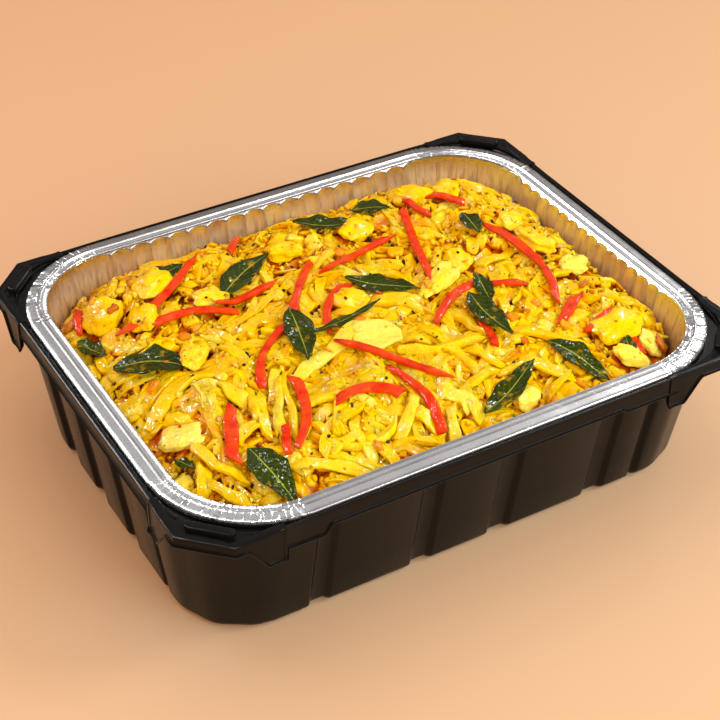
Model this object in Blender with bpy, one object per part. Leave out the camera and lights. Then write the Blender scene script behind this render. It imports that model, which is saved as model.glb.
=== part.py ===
"""Tray of turmeric cabbage.

A black carrier tray holds a foil tray by its rim. The foil tray is full of a heap of cooked
cabbage shreds, with red pepper strips and curry leaves lying on the heap.

Metres, +Z up. The origin is on the floor under the middle of the carrier tray.
X runs along the long side, and -Y is the front.
"""
import math

import bmesh
import bpy
from mathutils import Vector, noise
from mathutils.bvhtree import BVHTree

# Space left between pieces that touch
GAP = 0.0003

# Foil tray: the driving size. Its rim hangs in the carrier tray.
FOIL_HALF_X = 0.1500
FOIL_HALF_Y = 0.1205
FOIL_CORNER = 0.0552
RIM_HEIGHT = 0.0801
FOIL_THICKNESS = 0.0005
FOIL_FLOOR = 0.0120
FOIL_TAPER_X = 0.155
FOIL_TAPER_Y = 0.185
FOIL_FLOOR_ROUNDING = 0.0040
# Rim profile, from its outer edge inwards: distance in from the edge, depth under the rim's top
RIM_PROFILE = (
    (0.0000, 0.0022),
    (0.0015, 0.0000),
    (0.0040, 0.0001),
    (0.0056, 0.0017),
    (0.0078, 0.0013),
    (0.0104, 0.0039),
)
RIM_UNDERSIDE_DEPTH = 0.0037
RIM_UNDERSIDE_INSET = 0.0084
WALL_START_INSET = 0.0108
WALL_START_DEPTH = 0.0063
FLUTES_LONG_SIDE = 17
FLUTES_SHORT_SIDE = 15
FLUTE_DEPTH = 0.0013
FOIL_CORNER_STEPS = 6

# Carrier tray
BASE_HALF_X = 0.1407
BASE_HALF_Y = 0.1015
BASE_CORNER = 0.0365
WALL_FLARE_X = 0.130
WALL_FLARE_Y = 0.175
BASE_ROUNDING = 0.0035
BASE_ROUNDING_BREAK = 0.3
CARRIER_THICKNESS = 0.0010
SHELF_DEPTH = 0.0041
RAIL_DEPTH = 0.0012
RAIL_HALF_X = 0.1538
RAIL_HALF_Y = 0.1230
RAIL_INNER_HALF_X = 0.1512
RAIL_INNER_HALF_Y = 0.1214
RAIL_INNER_CORNER = 0.0425
SKIRT_THICKNESS = 0.0012
SKIRT_DEPTH = 0.0092
SKIRT_LIP = 0.0010
SKIRT_LIP_HEIGHT = 0.0010
SKIRT_LIP_TOP = 0.0016
DEEP_SKIRT_DEPTH = 0.0140

# Wall panels: grooves between them as (centre along the side, width)
GROOVE_DEPTH = 0.0026
GROOVE_FLANK = 0.0032
FRONT_GROOVES = (
    (-0.0834, 0.0124),
    (-0.0280, 0.0134),
    (0.0164, 0.0142),
    (0.0732, 0.0145),
    (0.0980, 0.0070),
)
LEFT_GROOVES = (
    (-0.0585, 0.0070),
    (-0.0210, 0.0140),
    (0.0175, 0.0160),
    (0.0520, 0.0160),
)
CORNER_FLUTE_DEPTH = 0.0008
CARRIER_CORNER_STEPS = 8

# Corner platforms, raised flush with the rail, with a chamfered outline and two clip housings each
PLATFORM_HALF_X = 0.1550
PLATFORM_HALF_Y = 0.1236
PLATFORM_CHAMFER_SUM = 0.2590
PLATFORM_SHOULDER = 0.0005
PLATFORM_SKIRT_DEPTH = 0.0066
HOUSING_LENGTH = 0.0110
HOUSING_DEPTH = 0.0190
# Where each platform starts along the long side and along the short side, by corner
PLATFORM_STARTS = {
    "back_right": (0.112, 0.073),
    "back_left": (0.112, 0.073),
    "front_left": (0.110, 0.077),
    "front_right": (0.096, 0.077),
}
# Deeper stretches of skirt on the front and the back, between these positions along X
DEEP_SKIRTS = ((-0.110, -0.0926), (0.0710, 0.096))
SKIRT_STEP = 0.0046
BAR_LENGTH = 0.0230
BAR_WIDTH = 0.0056
BAR_HEIGHT = 0.0020
BAR_EDGE = 0.0009
BAR_INSET = 0.0052
BAR_STEPS = 6

# Heap of shreds
HEAP_CROWN = 0.0005
HEAP_EDGE = -0.0165
HEAP_CORNER_DROP = -0.0110
CORNER_REACH_FROM = 0.55
CORNER_REACH_TO = 0.85
HEAP_SHOULDER = 0.048
HEAP_ROUGHNESS = 0.0030
HEAP_GRAIN = 0.021
HEAP_FINE_GRAIN = 0.010
HEAP_FINE_SHARE = 0.5
HEAP_SEED = Vector((3.1, 7.4, 1.9))
HEAP_CELLS_X = 26
HEAP_CELLS_Y = 21
HEAP_CLEARANCE = FLUTE_DEPTH + 2 * GAP

# Pepper strips: x and y of the middle, heading of the chord, length, width, bend along the length.
# Lengths are in millimetres and angles in degrees.
STRIP_THICKNESS = 0.0022
STRIP_STEPS = 7
STRIP_END_TAPER = 0.70
PEPPER_STRIPS = (
    (-84, 60, 36, 74, 4.8, 28),
    (-79, 31, -15, 46, 4.8, -34),
    (-48, 35, 7, 36, 4.4, 16),
    (-20, 28, 50, 48, 5.0, -8),
    (-56, -16, -136, 58, 4.8, 60),
    (19, 41, 14, 50, 4.6, 6),
    (-12, 4, -133, 41, 4.6, 60),
    (52, 34, -109, 68, 5.2, 12),
    (88, 62, -50, 22, 4.6, -38),
    (87, -8, -94, 80, 5.2, -56),
    (39, -22, 31, 40, 5.0, -34),
    (71, -22, -30, 20, 4.2, 16),
    (86, -55, -143, 27, 6.2, 4),
    (95, -70, -160, 26, 4.4, 6),
    (103, -87, -80, 12, 4.6, 0),
    (39, -52, -105, 24, 4.2, -26),
    (-10, -45, -56, 55, 4.8, 18),
    (-16, -74, -88, 48, 5.0, -42),
    (-36, -66, -16, 35, 6.4, -78),
    (-71, -58, -116, 53, 5.2, -48),
    (-83, -73, 66, 18, 4.4, -15),
    (-102, -56, -115, 37, 7.0, 10),
    (-126, 66, -113, 18, 4.4, 8),
    (-29, 86, -126, 24, 4.2, 0),
    (68, 61, -78, 22, 4.2, 16),
)
# Curry leaves: x and y of the middle, heading, length, width, fold of each half, rise of the tips
LEAF_THICKNESS = 0.0006
LEAF_STEPS = 6
LEAF_TIP = 0.08
LEAF_FULLNESS = 0.75
LEAF_TAPER = 0.18
CURRY_LEAVES = (
    (-112, 11, -42, 39, 20, 12, -2),
    (-40, 51, 31, 45, 15, 18, 2),
    (19, 74, -32, 34, 13, 24, 4),
    (48, 76, -40, 22, 12, 14, 1),
    (16, 9, -45, 40, 13, 10, 2),
    (-43, -10, -105, 42, 14, 20, 2),
    (-17, -8, 9, 48, 5, 8, 3),
    (-97, -85, -78, 34, 17, 14, -1),
    (57, -21, -106, 26, 9, 18, 2),
    (48, -41, -90, 39, 14, 16, 1),
    (85, 33, -99, 22, 11, 14, 1),
    (70, -86, -62, 35, 14, 14, 1),
    (28, -88, 23, 43, 12, 12, 2),
    (98, -90, -100, 14, 7, 10, 1),
    (-128, 45, -73, 22, 10, 14, 1),
    (-75, 77, 7, 26, 12, 12, 1),
    (-127, -57, -70, 13, 6, 10, 1),
)
REST_GAP = 0.0004
MM = 0.001

# Smallest angles between faces that stay sharp, in degrees
CRISP_ANGLE = 35.0
HEAP_ANGLE = 60.0
STRIP_ANGLE = 80.0

SIDES = ("right", "back", "left", "front")
CORNERS = ("back_right", "back_left", "front_left", "front_right")
CORNER_SIGNS = {
    "back_right": (1, 1),
    "back_left": (-1, 1),
    "front_left": (-1, -1),
    "front_right": (1, -1),
}


def clear_scene():
    for item in list(bpy.data.objects):
        bpy.data.objects.remove(item, do_unlink=True)


def make_material(name, colour, roughness, metallic=0.0):
    material = bpy.data.materials.new(name)
    material.use_nodes = True
    shader = material.node_tree.nodes["Principled BSDF"]
    shader.inputs["Base Color"].default_value = (*colour, 1.0)
    shader.inputs["Roughness"].default_value = roughness
    shader.inputs["Metallic"].default_value = metallic
    return material


def add_object(name, bm, material, sharp_degrees=CRISP_ANGLE):
    """Puts a finished bmesh into the scene as one named object."""
    bmesh.ops.recalc_face_normals(bm, faces=bm.faces)
    mesh = bpy.data.meshes.new(name)
    bm.to_mesh(mesh)
    bm.free()
    mesh.shade_smooth()
    mesh.set_sharp_from_angle(angle=math.radians(sharp_degrees))
    mesh.materials.append(material)
    item = bpy.data.objects.new(name, mesh)
    bpy.context.collection.objects.link(item)
    return item


def skin(rings):
    """Closed body through a stack of rings: each ring's face is extruded onto the next ring."""
    bm = bmesh.new()
    face = bm.faces.new([bm.verts.new(point) for point in rings[0]])
    for level, ring in enumerate(rings[1:]):
        grown = bmesh.ops.extrude_face_region(bm, geom=[face])
        if level:
            bmesh.ops.delete(bm, geom=[face], context="FACES_ONLY")
        face = next(part for part in grown["geom"] if isinstance(part, bmesh.types.BMFace))
        for corner, point in zip(face.loops, ring):
            corner.vert.co = point
    return bm


# Outlines. A station is (kind, name, position): a side station's position is its coordinate
# along that side, and a corner station's is the fraction of the quarter turn, counter-clockwise.

def make_stations(side_positions, corner_steps):
    """Stations all round, counter-clockwise from the front of the right side."""
    stations = []
    for side, corner in zip(SIDES, CORNERS):
        ordered = sorted(side_positions[side], reverse=side in ("back", "left"))
        stations += [("side", side, position) for position in ordered]
        stations += [("corner", corner, step / corner_steps) for step in range(corner_steps + 1)]
    return stations


def quarter_fraction(corner, fraction):
    """Fraction of the quarter turn measured from the short side, whatever the corner."""
    return fraction if corner in ("back_right", "front_left") else 1.0 - fraction


def rounded_point(station, half_x, half_y, radius, inset=0.0):
    """Point of a rounded rectangle at a station, moved inwards by inset."""
    kind, name, position = station
    if kind == "corner":
        sign_x, sign_y = CORNER_SIGNS[name]
        angle = quarter_fraction(name, position) * math.pi / 2
        reach = radius - inset
        x = half_x - radius + reach * math.cos(angle)
        y = half_y - radius + reach * math.sin(angle)
        return sign_x * x, sign_y * y
    if name in ("front", "back"):
        return position, (half_y - inset) * (1 if name == "back" else -1)
    return (half_x - inset) * (1 if name == "right" else -1), position


def platform_point(station, inset):
    """Point of the carrier's outer edge: straight rails, and a chamfered platform at each corner."""
    kind, name, position = station
    if kind == "side":
        return rounded_point(station, RAIL_HALF_X, RAIL_HALF_Y, 0.0, inset)
    start_x, start_y = PLATFORM_STARTS[name]
    edge_x = PLATFORM_HALF_X - inset
    edge_y = PLATFORM_HALF_Y - inset
    chamfer = PLATFORM_CHAMFER_SUM - inset * math.sqrt(2.0)
    path = (
        (RAIL_HALF_X - inset, start_y),
        (edge_x, start_y + PLATFORM_SHOULDER),
        (edge_x, start_y + HOUSING_LENGTH),
        (edge_x, chamfer - edge_x),
        ((chamfer - edge_y + edge_x) / 2, (chamfer - edge_x + edge_y) / 2),
        (chamfer - edge_y, edge_y),
        (start_x + HOUSING_LENGTH, edge_y),
        (start_x + PLATFORM_SHOULDER, edge_y),
        (start_x, RAIL_HALF_Y - inset),
    )
    x, y = path[round(quarter_fraction(name, position) * CARRIER_CORNER_STEPS)]
    sign_x, sign_y = CORNER_SIGNS[name]
    return sign_x * x, sign_y * y


def skirt_depth(station):
    """How far the skirt hangs under the rim's top at a station."""
    kind, name, position = station
    if kind == "corner":
        step = round(quarter_fraction(name, position) * CARRIER_CORNER_STEPS)
        if step in (1, 2, 6, 7):
            return HOUSING_DEPTH
        if step in (3, 4, 5):
            return PLATFORM_SKIRT_DEPTH
        return DEEP_SKIRT_DEPTH if step == CARRIER_CORNER_STEPS else SKIRT_DEPTH
    if name in ("front", "back") and any(low <= position <= high for low, high in DEEP_SKIRTS):
        return DEEP_SKIRT_DEPTH
    return SKIRT_DEPTH


def side_grooves(side):
    return FRONT_GROOVES if side in ("front", "back") else LEFT_GROOVES


def groove_inset(station):
    """How far the wall is set in at a station, for the grooves and for the corners' flutes."""
    kind, name, position = station
    if kind == "corner":
        step = round(position * CARRIER_CORNER_STEPS)
        return CORNER_FLUTE_DEPTH if step % 2 else 0.0
    for centre, width in side_grooves(name):
        if abs(position - centre) <= width / 2 - GROOVE_FLANK + 1e-6:
            return GROOVE_DEPTH
    return 0.0


def carrier_stations():
    positions = {}
    for side in SIDES:
        places = set()
        for centre, width in side_grooves(side):
            floor = max(width / 2 - GROOVE_FLANK, 0.0)
            places |= {centre - width / 2, centre - floor, centre + floor, centre + width / 2}
        if side in ("front", "back"):
            places |= {DEEP_SKIRTS[0][1], DEEP_SKIRTS[0][1] + SKIRT_STEP}
            places |= {DEEP_SKIRTS[1][0], DEEP_SKIRTS[1][0] - SKIRT_STEP / 2}
        positions[side] = places
    return make_stations(positions, CARRIER_CORNER_STEPS)


def carrier_wall(stations, height, inset=0.0):
    """Ring of the carrier's grooved wall at a height above the floor."""
    half_x = BASE_HALF_X + WALL_FLARE_X * height
    half_y = BASE_HALF_Y + WALL_FLARE_Y * height
    radius = BASE_CORNER + WALL_FLARE_X * height
    ring = []
    for station in stations:
        x, y = rounded_point(station, half_x, half_y, radius, inset + groove_inset(station))
        ring.append(Vector((x, y, height)))
    return ring


def carrier_edge(stations, inset, height_above_lip=None, depth=None):
    """Ring of the skirt and rail, at a depth under the rim or at a height above the skirt's lip."""
    ring = []
    for station in stations:
        x, y = platform_point(station, inset)
        drop = depth if depth is not None else skirt_depth(station) - height_above_lip
        ring.append(Vector((x, y, RIM_HEIGHT - drop)))
    return ring


def flat_ring(stations, half_x, half_y, radius, height, inset=0.0):
    return [Vector((*rounded_point(s, half_x, half_y, radius, inset), height)) for s in stations]


def add_platform_bar(carrier, corner):
    """Raised round-ended bar along a platform's chamfer, joined to the carrier."""
    bm = bmesh.new()
    straight = BAR_LENGTH / 2 - BAR_WIDTH / 2
    outline = []
    for end in (1, -1):
        for step in range(BAR_STEPS + 1):
            angle = math.pi * (step / BAR_STEPS - 0.5) + (0.0 if end == 1 else math.pi)
            x = end * straight + math.cos(angle) * BAR_WIDTH / 2
            outline.append((x, math.sin(angle) * BAR_WIDTH / 2))
    sink = SHELF_DEPTH - RAIL_DEPTH
    face = bm.faces.new([bm.verts.new((x, y, -sink / 2)) for x, y in outline])
    grown = bmesh.ops.extrude_face_region(bm, geom=[face])
    top = [part for part in grown["geom"] if isinstance(part, bmesh.types.BMVert)]
    bmesh.ops.translate(bm, vec=(0.0, 0.0, BAR_HEIGHT + sink / 2), verts=top)
    rim = [edge for edge in bm.edges if all(vert in top for vert in edge.verts)]
    bmesh.ops.bevel(bm, geom=rim, offset=BAR_EDGE, segments=1, profile=0.5, affect="EDGES", material=-1)
    bmesh.ops.recalc_face_normals(bm, faces=bm.faces)
    mesh = bpy.data.meshes.new(f"bar_{corner}")
    bm.to_mesh(mesh)
    bm.free()
    bar = bpy.data.objects.new(f"bar_{corner}", mesh)
    bpy.context.collection.objects.link(bar)
    sign_x, sign_y = CORNER_SIGNS[corner]
    inward = BAR_INSET / math.sqrt(2.0)
    middle_x = (PLATFORM_CHAMFER_SUM - PLATFORM_HALF_Y + PLATFORM_HALF_X) / 2 - inward
    middle_y = (PLATFORM_CHAMFER_SUM - PLATFORM_HALF_X + PLATFORM_HALF_Y) / 2 - inward
    bar.location = (sign_x * middle_x, sign_y * middle_y, RIM_HEIGHT - RAIL_DEPTH)
    bar.rotation_euler = (0.0, 0.0, math.radians(-45.0 * sign_x * sign_y))
    bar.hide_render = True
    bar.display_type = "WIRE"
    join = carrier.modifiers.new(f"bar_{corner}", "BOOLEAN")
    join.operation = "UNION"
    join.solver = "EXACT"
    join.object = bar


def build_carrier(material):
    """Black thermoformed tray: grooved walls, a shelf for the foil rim, a rail and a skirt."""
    stations = carrier_stations()
    base_break = BASE_ROUNDING * BASE_ROUNDING_BREAK
    shelf = RIM_HEIGHT - SHELF_DEPTH
    underside = shelf - CARRIER_THICKNESS
    top_x = BASE_HALF_X + WALL_FLARE_X * underside
    top_y = BASE_HALF_Y + WALL_FLARE_Y * underside
    top_radius = BASE_CORNER + WALL_FLARE_X * underside
    rail_top = RIM_HEIGHT - RAIL_DEPTH
    well = (RAIL_INNER_HALF_X, RAIL_INNER_HALF_Y, RAIL_INNER_CORNER)
    rings = [
        carrier_wall(stations, 0.0, BASE_ROUNDING),
        carrier_wall(stations, base_break, base_break),
        carrier_wall(stations, BASE_ROUNDING),
        carrier_wall(stations, underside),
        carrier_edge(stations, SKIRT_THICKNESS, depth=SHELF_DEPTH + CARRIER_THICKNESS),
        carrier_edge(stations, SKIRT_THICKNESS - SKIRT_LIP, height_above_lip=0.0),
        carrier_edge(stations, -SKIRT_LIP, height_above_lip=0.0),
        carrier_edge(stations, -SKIRT_LIP, height_above_lip=SKIRT_LIP_HEIGHT),
        carrier_edge(stations, 0.0, height_above_lip=SKIRT_LIP_TOP),
        carrier_edge(stations, 0.0, depth=RAIL_DEPTH),
        flat_ring(stations, *well, rail_top),
        flat_ring(stations, *well, shelf),
        flat_ring(stations, top_x, top_y, top_radius, shelf, CARRIER_THICKNESS + GROOVE_DEPTH / 3),
        carrier_wall(stations, CARRIER_THICKNESS, CARRIER_THICKNESS),
    ]
    carrier = add_object("outer_tray", skin(rings), material)
    for corner in CORNERS:
        add_platform_bar(carrier, corner)
    return carrier


def foil_stations():
    """Two stations to a flute: on a crest and in the trough beside it."""
    positions = {}
    for side in SIDES:
        long_side = side in ("front", "back")
        half = FOIL_HALF_X - FOIL_CORNER if long_side else FOIL_HALF_Y - FOIL_CORNER
        flutes = FLUTES_LONG_SIDE if long_side else FLUTES_SHORT_SIDE
        pitch = 2 * half / flutes
        positions[side] = [-half + pitch * step / 2 for step in range(1, 2 * flutes)]
    return make_stations(positions, FOIL_CORNER_STEPS)


def flute_inset(station):
    """Inset of the fluted wall: troughs on every other side station, none at the corners."""
    kind, side, position = station
    if kind == "corner":
        return 0.0
    long_side = side in ("front", "back")
    half = FOIL_HALF_X - FOIL_CORNER if long_side else FOIL_HALF_Y - FOIL_CORNER
    flutes = FLUTES_LONG_SIDE if long_side else FLUTES_SHORT_SIDE
    step = round((position + half) / (2 * half / flutes) * 2)
    return FLUTE_DEPTH if step % 2 else 0.0


def foil_wall(stations, depth, inset=0.0, fluted=True):
    """Ring of the foil's tapered wall at a depth under the rim's top."""
    below = depth - WALL_START_DEPTH
    half_x = FOIL_HALF_X - WALL_START_INSET - FOIL_TAPER_X * below
    half_y = FOIL_HALF_Y - WALL_START_INSET - FOIL_TAPER_Y * below
    radius = FOIL_CORNER - WALL_START_INSET - FOIL_TAPER_X * below
    ring = []
    for station in stations:
        flute = flute_inset(station) if fluted else 0.0
        x, y = rounded_point(station, half_x, half_y, radius, inset + flute)
        ring.append(Vector((x, y, RIM_HEIGHT - depth)))
    return ring


def build_foil(material):
    """Thin foil tray: fluted walls and a stepped rim with a rolled outer edge."""
    stations = foil_stations()
    floor_depth = RIM_HEIGHT - FOIL_FLOOR
    outer = -FOIL_THICKNESS
    rings = [
        foil_wall(stations, floor_depth + FOIL_THICKNESS, FOIL_FLOOR_ROUNDING, fluted=False),
        foil_wall(stations, floor_depth - FOIL_FLOOR_ROUNDING, outer),
        foil_wall(stations, WALL_START_DEPTH, outer),
    ]
    underside = ((RIM_UNDERSIDE_INSET, RIM_UNDERSIDE_DEPTH), (FOIL_THICKNESS, RIM_UNDERSIDE_DEPTH))
    for inset, depth in underside + RIM_PROFILE:
        height = RIM_HEIGHT - depth
        rings.append(flat_ring(stations, FOIL_HALF_X, FOIL_HALF_Y, FOIL_CORNER, height, inset))
    rings += [
        foil_wall(stations, WALL_START_DEPTH),
        foil_wall(stations, floor_depth - FOIL_FLOOR_ROUNDING),
        foil_wall(stations, floor_depth, FOIL_FLOOR_ROUNDING, fluted=False),
    ]
    return add_object("foil_tray", skin(rings), material)


def wall_distance(x, y):
    """Distance from a point to the foil's inner wall at the level of the heap's edge."""
    half_x = FOIL_HALF_X - WALL_START_INSET
    half_y = FOIL_HALF_Y - WALL_START_INSET
    radius = FOIL_CORNER - WALL_START_INSET
    over_x = abs(x) - (half_x - radius)
    over_y = abs(y) - (half_y - radius)
    if over_x > 0 and over_y > 0:
        return radius - math.hypot(over_x, over_y)
    return radius - max(over_x, over_y)


def cornerness(x, y):
    """0 along the sides, rising to 1 in the corners."""
    reach_x = abs(x) / (FOIL_HALF_X - WALL_START_INSET)
    reach_y = abs(y) / (FOIL_HALF_Y - WALL_START_INSET)
    share = (reach_x * reach_y - CORNER_REACH_FROM) / (CORNER_REACH_TO - CORNER_REACH_FROM)
    return min(1.0, max(0.0, share))


def heap_height(x, y):
    """Height of the heap's surface: a low dome, lower at the walls and corners, and uneven."""
    slope = max(0.0, 1.0 - wall_distance(x, y) / HEAP_SHOULDER) ** 2
    dome = HEAP_CROWN + (HEAP_EDGE - HEAP_CROWN) * slope + HEAP_CORNER_DROP * cornerness(x, y)
    place = Vector((x, y, 0.0))
    lumps = noise.noise(place / HEAP_GRAIN + HEAP_SEED)
    lumps += HEAP_FINE_SHARE * noise.noise(place / HEAP_FINE_GRAIN + HEAP_SEED)
    return RIM_HEIGHT + dome + HEAP_ROUGHNESS * lumps


def heap_place(u, v, meets_x, meets_y, radius):
    """Point of the heap's plan for (u, v) in a square of half side 1, whose edge goes to the outline."""
    ring = max(abs(u), abs(v))
    if ring < 1e-6:
        return 0.0, 0.0
    x = abs(u) / ring * meets_x
    y = abs(v) / ring * meets_y
    over_x = x - (meets_x - radius)
    over_y = y - (meets_y - radius)
    if over_x > 0 and over_y > 0:
        reach = radius / math.hypot(over_x, over_y)
        x = meets_x - radius + over_x * reach
        y = meets_y - radius + over_y * reach
    return math.copysign(x * ring, u), math.copysign(y * ring, v)


def build_heap(material):
    """Heap of shreds: one solid from the foil's floor up to its uneven top."""
    meets_x = FOIL_HALF_X - WALL_START_INSET + FOIL_TAPER_X * HEAP_EDGE - HEAP_CLEARANCE
    meets_y = FOIL_HALF_Y - WALL_START_INSET + FOIL_TAPER_Y * HEAP_EDGE - HEAP_CLEARANCE
    radius = FOIL_CORNER - WALL_START_INSET + FOIL_TAPER_X * HEAP_EDGE
    bm = bmesh.new()
    bmesh.ops.create_grid(bm, x_segments=HEAP_CELLS_X, y_segments=HEAP_CELLS_Y, size=1.0)
    for vert in bm.verts:
        x, y = heap_place(vert.co.x, vert.co.y, meets_x, meets_y, radius)
        vert.co = (x, y, heap_height(x, y))
    rim = [edge for edge in bm.edges if edge.is_boundary]
    knee = RIM_HEIGHT - FOIL_FLOOR - FOIL_FLOOR_ROUNDING
    for depth, inset in ((knee, 0.0), (RIM_HEIGHT - FOIL_FLOOR - GAP, FOIL_FLOOR_ROUNDING)):
        below = depth - WALL_START_DEPTH
        half_x = FOIL_HALF_X - WALL_START_INSET - FOIL_TAPER_X * below - HEAP_CLEARANCE - inset
        half_y = FOIL_HALF_Y - WALL_START_INSET - FOIL_TAPER_Y * below - HEAP_CLEARANCE - inset
        grown = bmesh.ops.extrude_edge_only(bm, edges=rim)["geom"]
        rim = [part for part in grown if isinstance(part, bmesh.types.BMEdge)]
        for vert in {vert for edge in rim for vert in edge.verts}:
            vert.co = (vert.co.x / meets_x * half_x, vert.co.y / meets_y * half_y, RIM_HEIGHT - depth)
        meets_x = half_x
        meets_y = half_y
    bmesh.ops.edgeloop_fill(bm, edges=rim)
    bmesh.ops.triangulate(bm, faces=bm.faces)
    return add_object("cabbage_heap", bm, material, sharp_degrees=HEAP_ANGLE)


def surface_of(items):
    """Search tree over the faces of the pieces that later pieces come to rest on."""
    points = []
    faces = []
    for item in items:
        start = len(points)
        points += [vert.co.copy() for vert in item.data.vertices]
        faces += [[start + index for index in face.vertices] for face in item.data.polygons]
    return points, BVHTree.FromPolygons(points, faces)


def height_under(surface, x, y):
    hit = surface[1].ray_cast(Vector((x, y, 2 * RIM_HEIGHT)), Vector((0.0, 0.0, -1.0)))[0]
    return hit.z if hit else 0.0


def settle(bm, surface):
    """Lowers or lifts a piece until its closest point is the rest gap above what lies below it."""
    bmesh.ops.triangulate(bm, faces=bm.faces)
    samples = [vert.co for vert in bm.verts]
    samples += [(edge.verts[0].co + edge.verts[1].co) / 2 for edge in bm.edges]
    for face in bm.faces:
        centre = face.calc_center_median()
        samples.append(centre)
        samples += [(centre + vert.co) / 2 for vert in face.verts]
    lifts = [height_under(surface, point.x, point.y) - point.z for point in samples]
    piece = BVHTree.FromBMesh(bm)
    for point in surface[0]:
        hit = piece.ray_cast(Vector((point.x, point.y, 0.0)), Vector((0.0, 0.0, 1.0)))[0]
        if hit:
            lifts.append(point.z - hit.z)
    lift = max(lifts)
    bmesh.ops.translate(bm, vec=(0.0, 0.0, lift + REST_GAP), verts=bm.verts)


def smooth_run(values):
    """Each value averaged with its neighbours, the ends kept."""
    inner = [(a + 2 * b + c) / 4 for a, b, c in zip(values, values[1:], values[2:])]
    return [values[0], *inner, values[-1]]


def strip_path(x, y, heading, length, bend):
    """Points and directions along an arc in plan, from its middle, chord heading and bend."""
    half = STRIP_STEPS / 2
    points = []
    place = Vector((0.0, 0.0))
    for step in range(STRIP_STEPS + 1):
        turn = math.radians(heading + bend * (step - half) / STRIP_STEPS)
        points.append((place.copy(), turn))
        middle = math.radians(heading + bend * (step + 0.5 - half) / STRIP_STEPS)
        place += Vector((math.cos(middle), math.sin(middle))) * (length / STRIP_STEPS)
    shift = Vector((x, y)) - (points[0][0] + points[-1][0]) / 2
    return [(point + shift, turn) for point, turn in points]


def add_strip(name, row, surface, material):
    """Pepper strip: a bent flat stick that follows the surface it lies on."""
    x, y, heading, length, width, bend = row
    path = strip_path(x * MM, y * MM, heading, length * MM, bend)
    half_width = width * MM / 2
    heights = []
    for point, turn in path:
        side = Vector((-math.sin(turn), math.cos(turn))) * half_width
        ahead = Vector((math.cos(turn), math.sin(turn))) * (length * MM / STRIP_STEPS / 3)
        spots = (point, point + side, point - side, point + ahead, point - ahead)
        heights.append(max(height_under(surface, spot.x, spot.y) for spot in spots))
    heights = smooth_run(heights)
    rings = []
    for step, ((point, turn), height) in enumerate(zip(path, heights)):
        taper = STRIP_END_TAPER if step in (0, STRIP_STEPS) else 1.0
        side = Vector((-math.sin(turn), math.cos(turn), 0.0)) * (half_width * taper)
        up = Vector((0.0, 0.0, STRIP_THICKNESS * taper))
        low = Vector((point.x, point.y, height))
        rings.append([low - side, low + side, low + side + up, low - side + up])
    bm = skin(rings)
    settle(bm, surface)
    return add_object(name, bm, material, sharp_degrees=STRIP_ANGLE)


def add_leaf(name, row, surface, material):
    """Curry leaf: pointed at both ends, folded along its midrib, with its tips raised or lowered."""
    x, y, heading, length, width, fold, rise = row
    bm = bmesh.new()
    bmesh.ops.create_grid(bm, x_segments=LEAF_STEPS, y_segments=2, size=1.0)
    turn = math.radians(heading)
    along = Vector((math.cos(turn), math.sin(turn)))
    across = Vector((-math.sin(turn), math.cos(turn)))
    for vert in bm.verts:
        t = vert.co.x
        reach = max(LEAF_TIP, (1.0 - t * t) ** LEAF_FULLNESS * (1.0 - LEAF_TAPER * t))
        half = width * MM / 2 * reach * vert.co.y
        place = Vector((x, y)) * MM + along * (t * length * MM / 2) + across * half
        ground = height_under(surface, place.x, place.y)
        middle = place - across * half
        spine = (height_under(surface, middle.x, middle.y) + ground) / 2
        lift = abs(half) * math.tan(math.radians(fold)) + rise * MM * t * t
        vert.co = (place.x, place.y, spine + lift)
    bmesh.ops.smooth_vert(bm, verts=bm.verts, factor=0.5, use_axis_z=True)
    bmesh.ops.recalc_face_normals(bm, faces=bm.faces)
    bmesh.ops.solidify(bm, geom=bm.faces[:], thickness=LEAF_THICKNESS)
    settle(bm, surface)
    return add_object(name, bm, material, sharp_degrees=HEAP_ANGLE)


def main():
    clear_scene()
    black = make_material("black_plastic", (0.012, 0.012, 0.013), 0.38)
    foil = make_material("foil", (0.80, 0.80, 0.80), 0.22, 1.0)
    cabbage = make_material("cabbage", (0.87, 0.56, 0.02), 0.40)
    pepper = make_material("pepper", (0.83, 0.05, 0.01), 0.25)
    leaf = make_material("curry_leaf", (0.02, 0.07, 0.01), 0.35)
    build_carrier(black)
    build_foil(foil)
    resting = [build_heap(cabbage)]
    for number, row in enumerate(PEPPER_STRIPS, start=1):
        resting.append(add_strip(f"pepper_strip_{number:02d}", row, surface_of(resting), pepper))
    for number, row in enumerate(CURRY_LEAVES, start=1):
        resting.append(add_leaf(f"curry_leaf_{number:02d}", row, surface_of(resting), leaf))


if __name__ == "__main__":
    main()
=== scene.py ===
"""Tray of turmeric cabbage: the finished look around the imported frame.

A black carrier tray holds a foil tray by its rim, full of turmeric-yellow cabbage shreds with red
pepper strips, curry leaves, fried onion, lentils, mustard seeds and chilli flakes.
"""

import bisect
import copy
import math
import random

import bmesh
import bpy
import numpy as np
from mathutils import Matrix, Vector, noise
from mathutils.bvhtree import BVHTree


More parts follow.
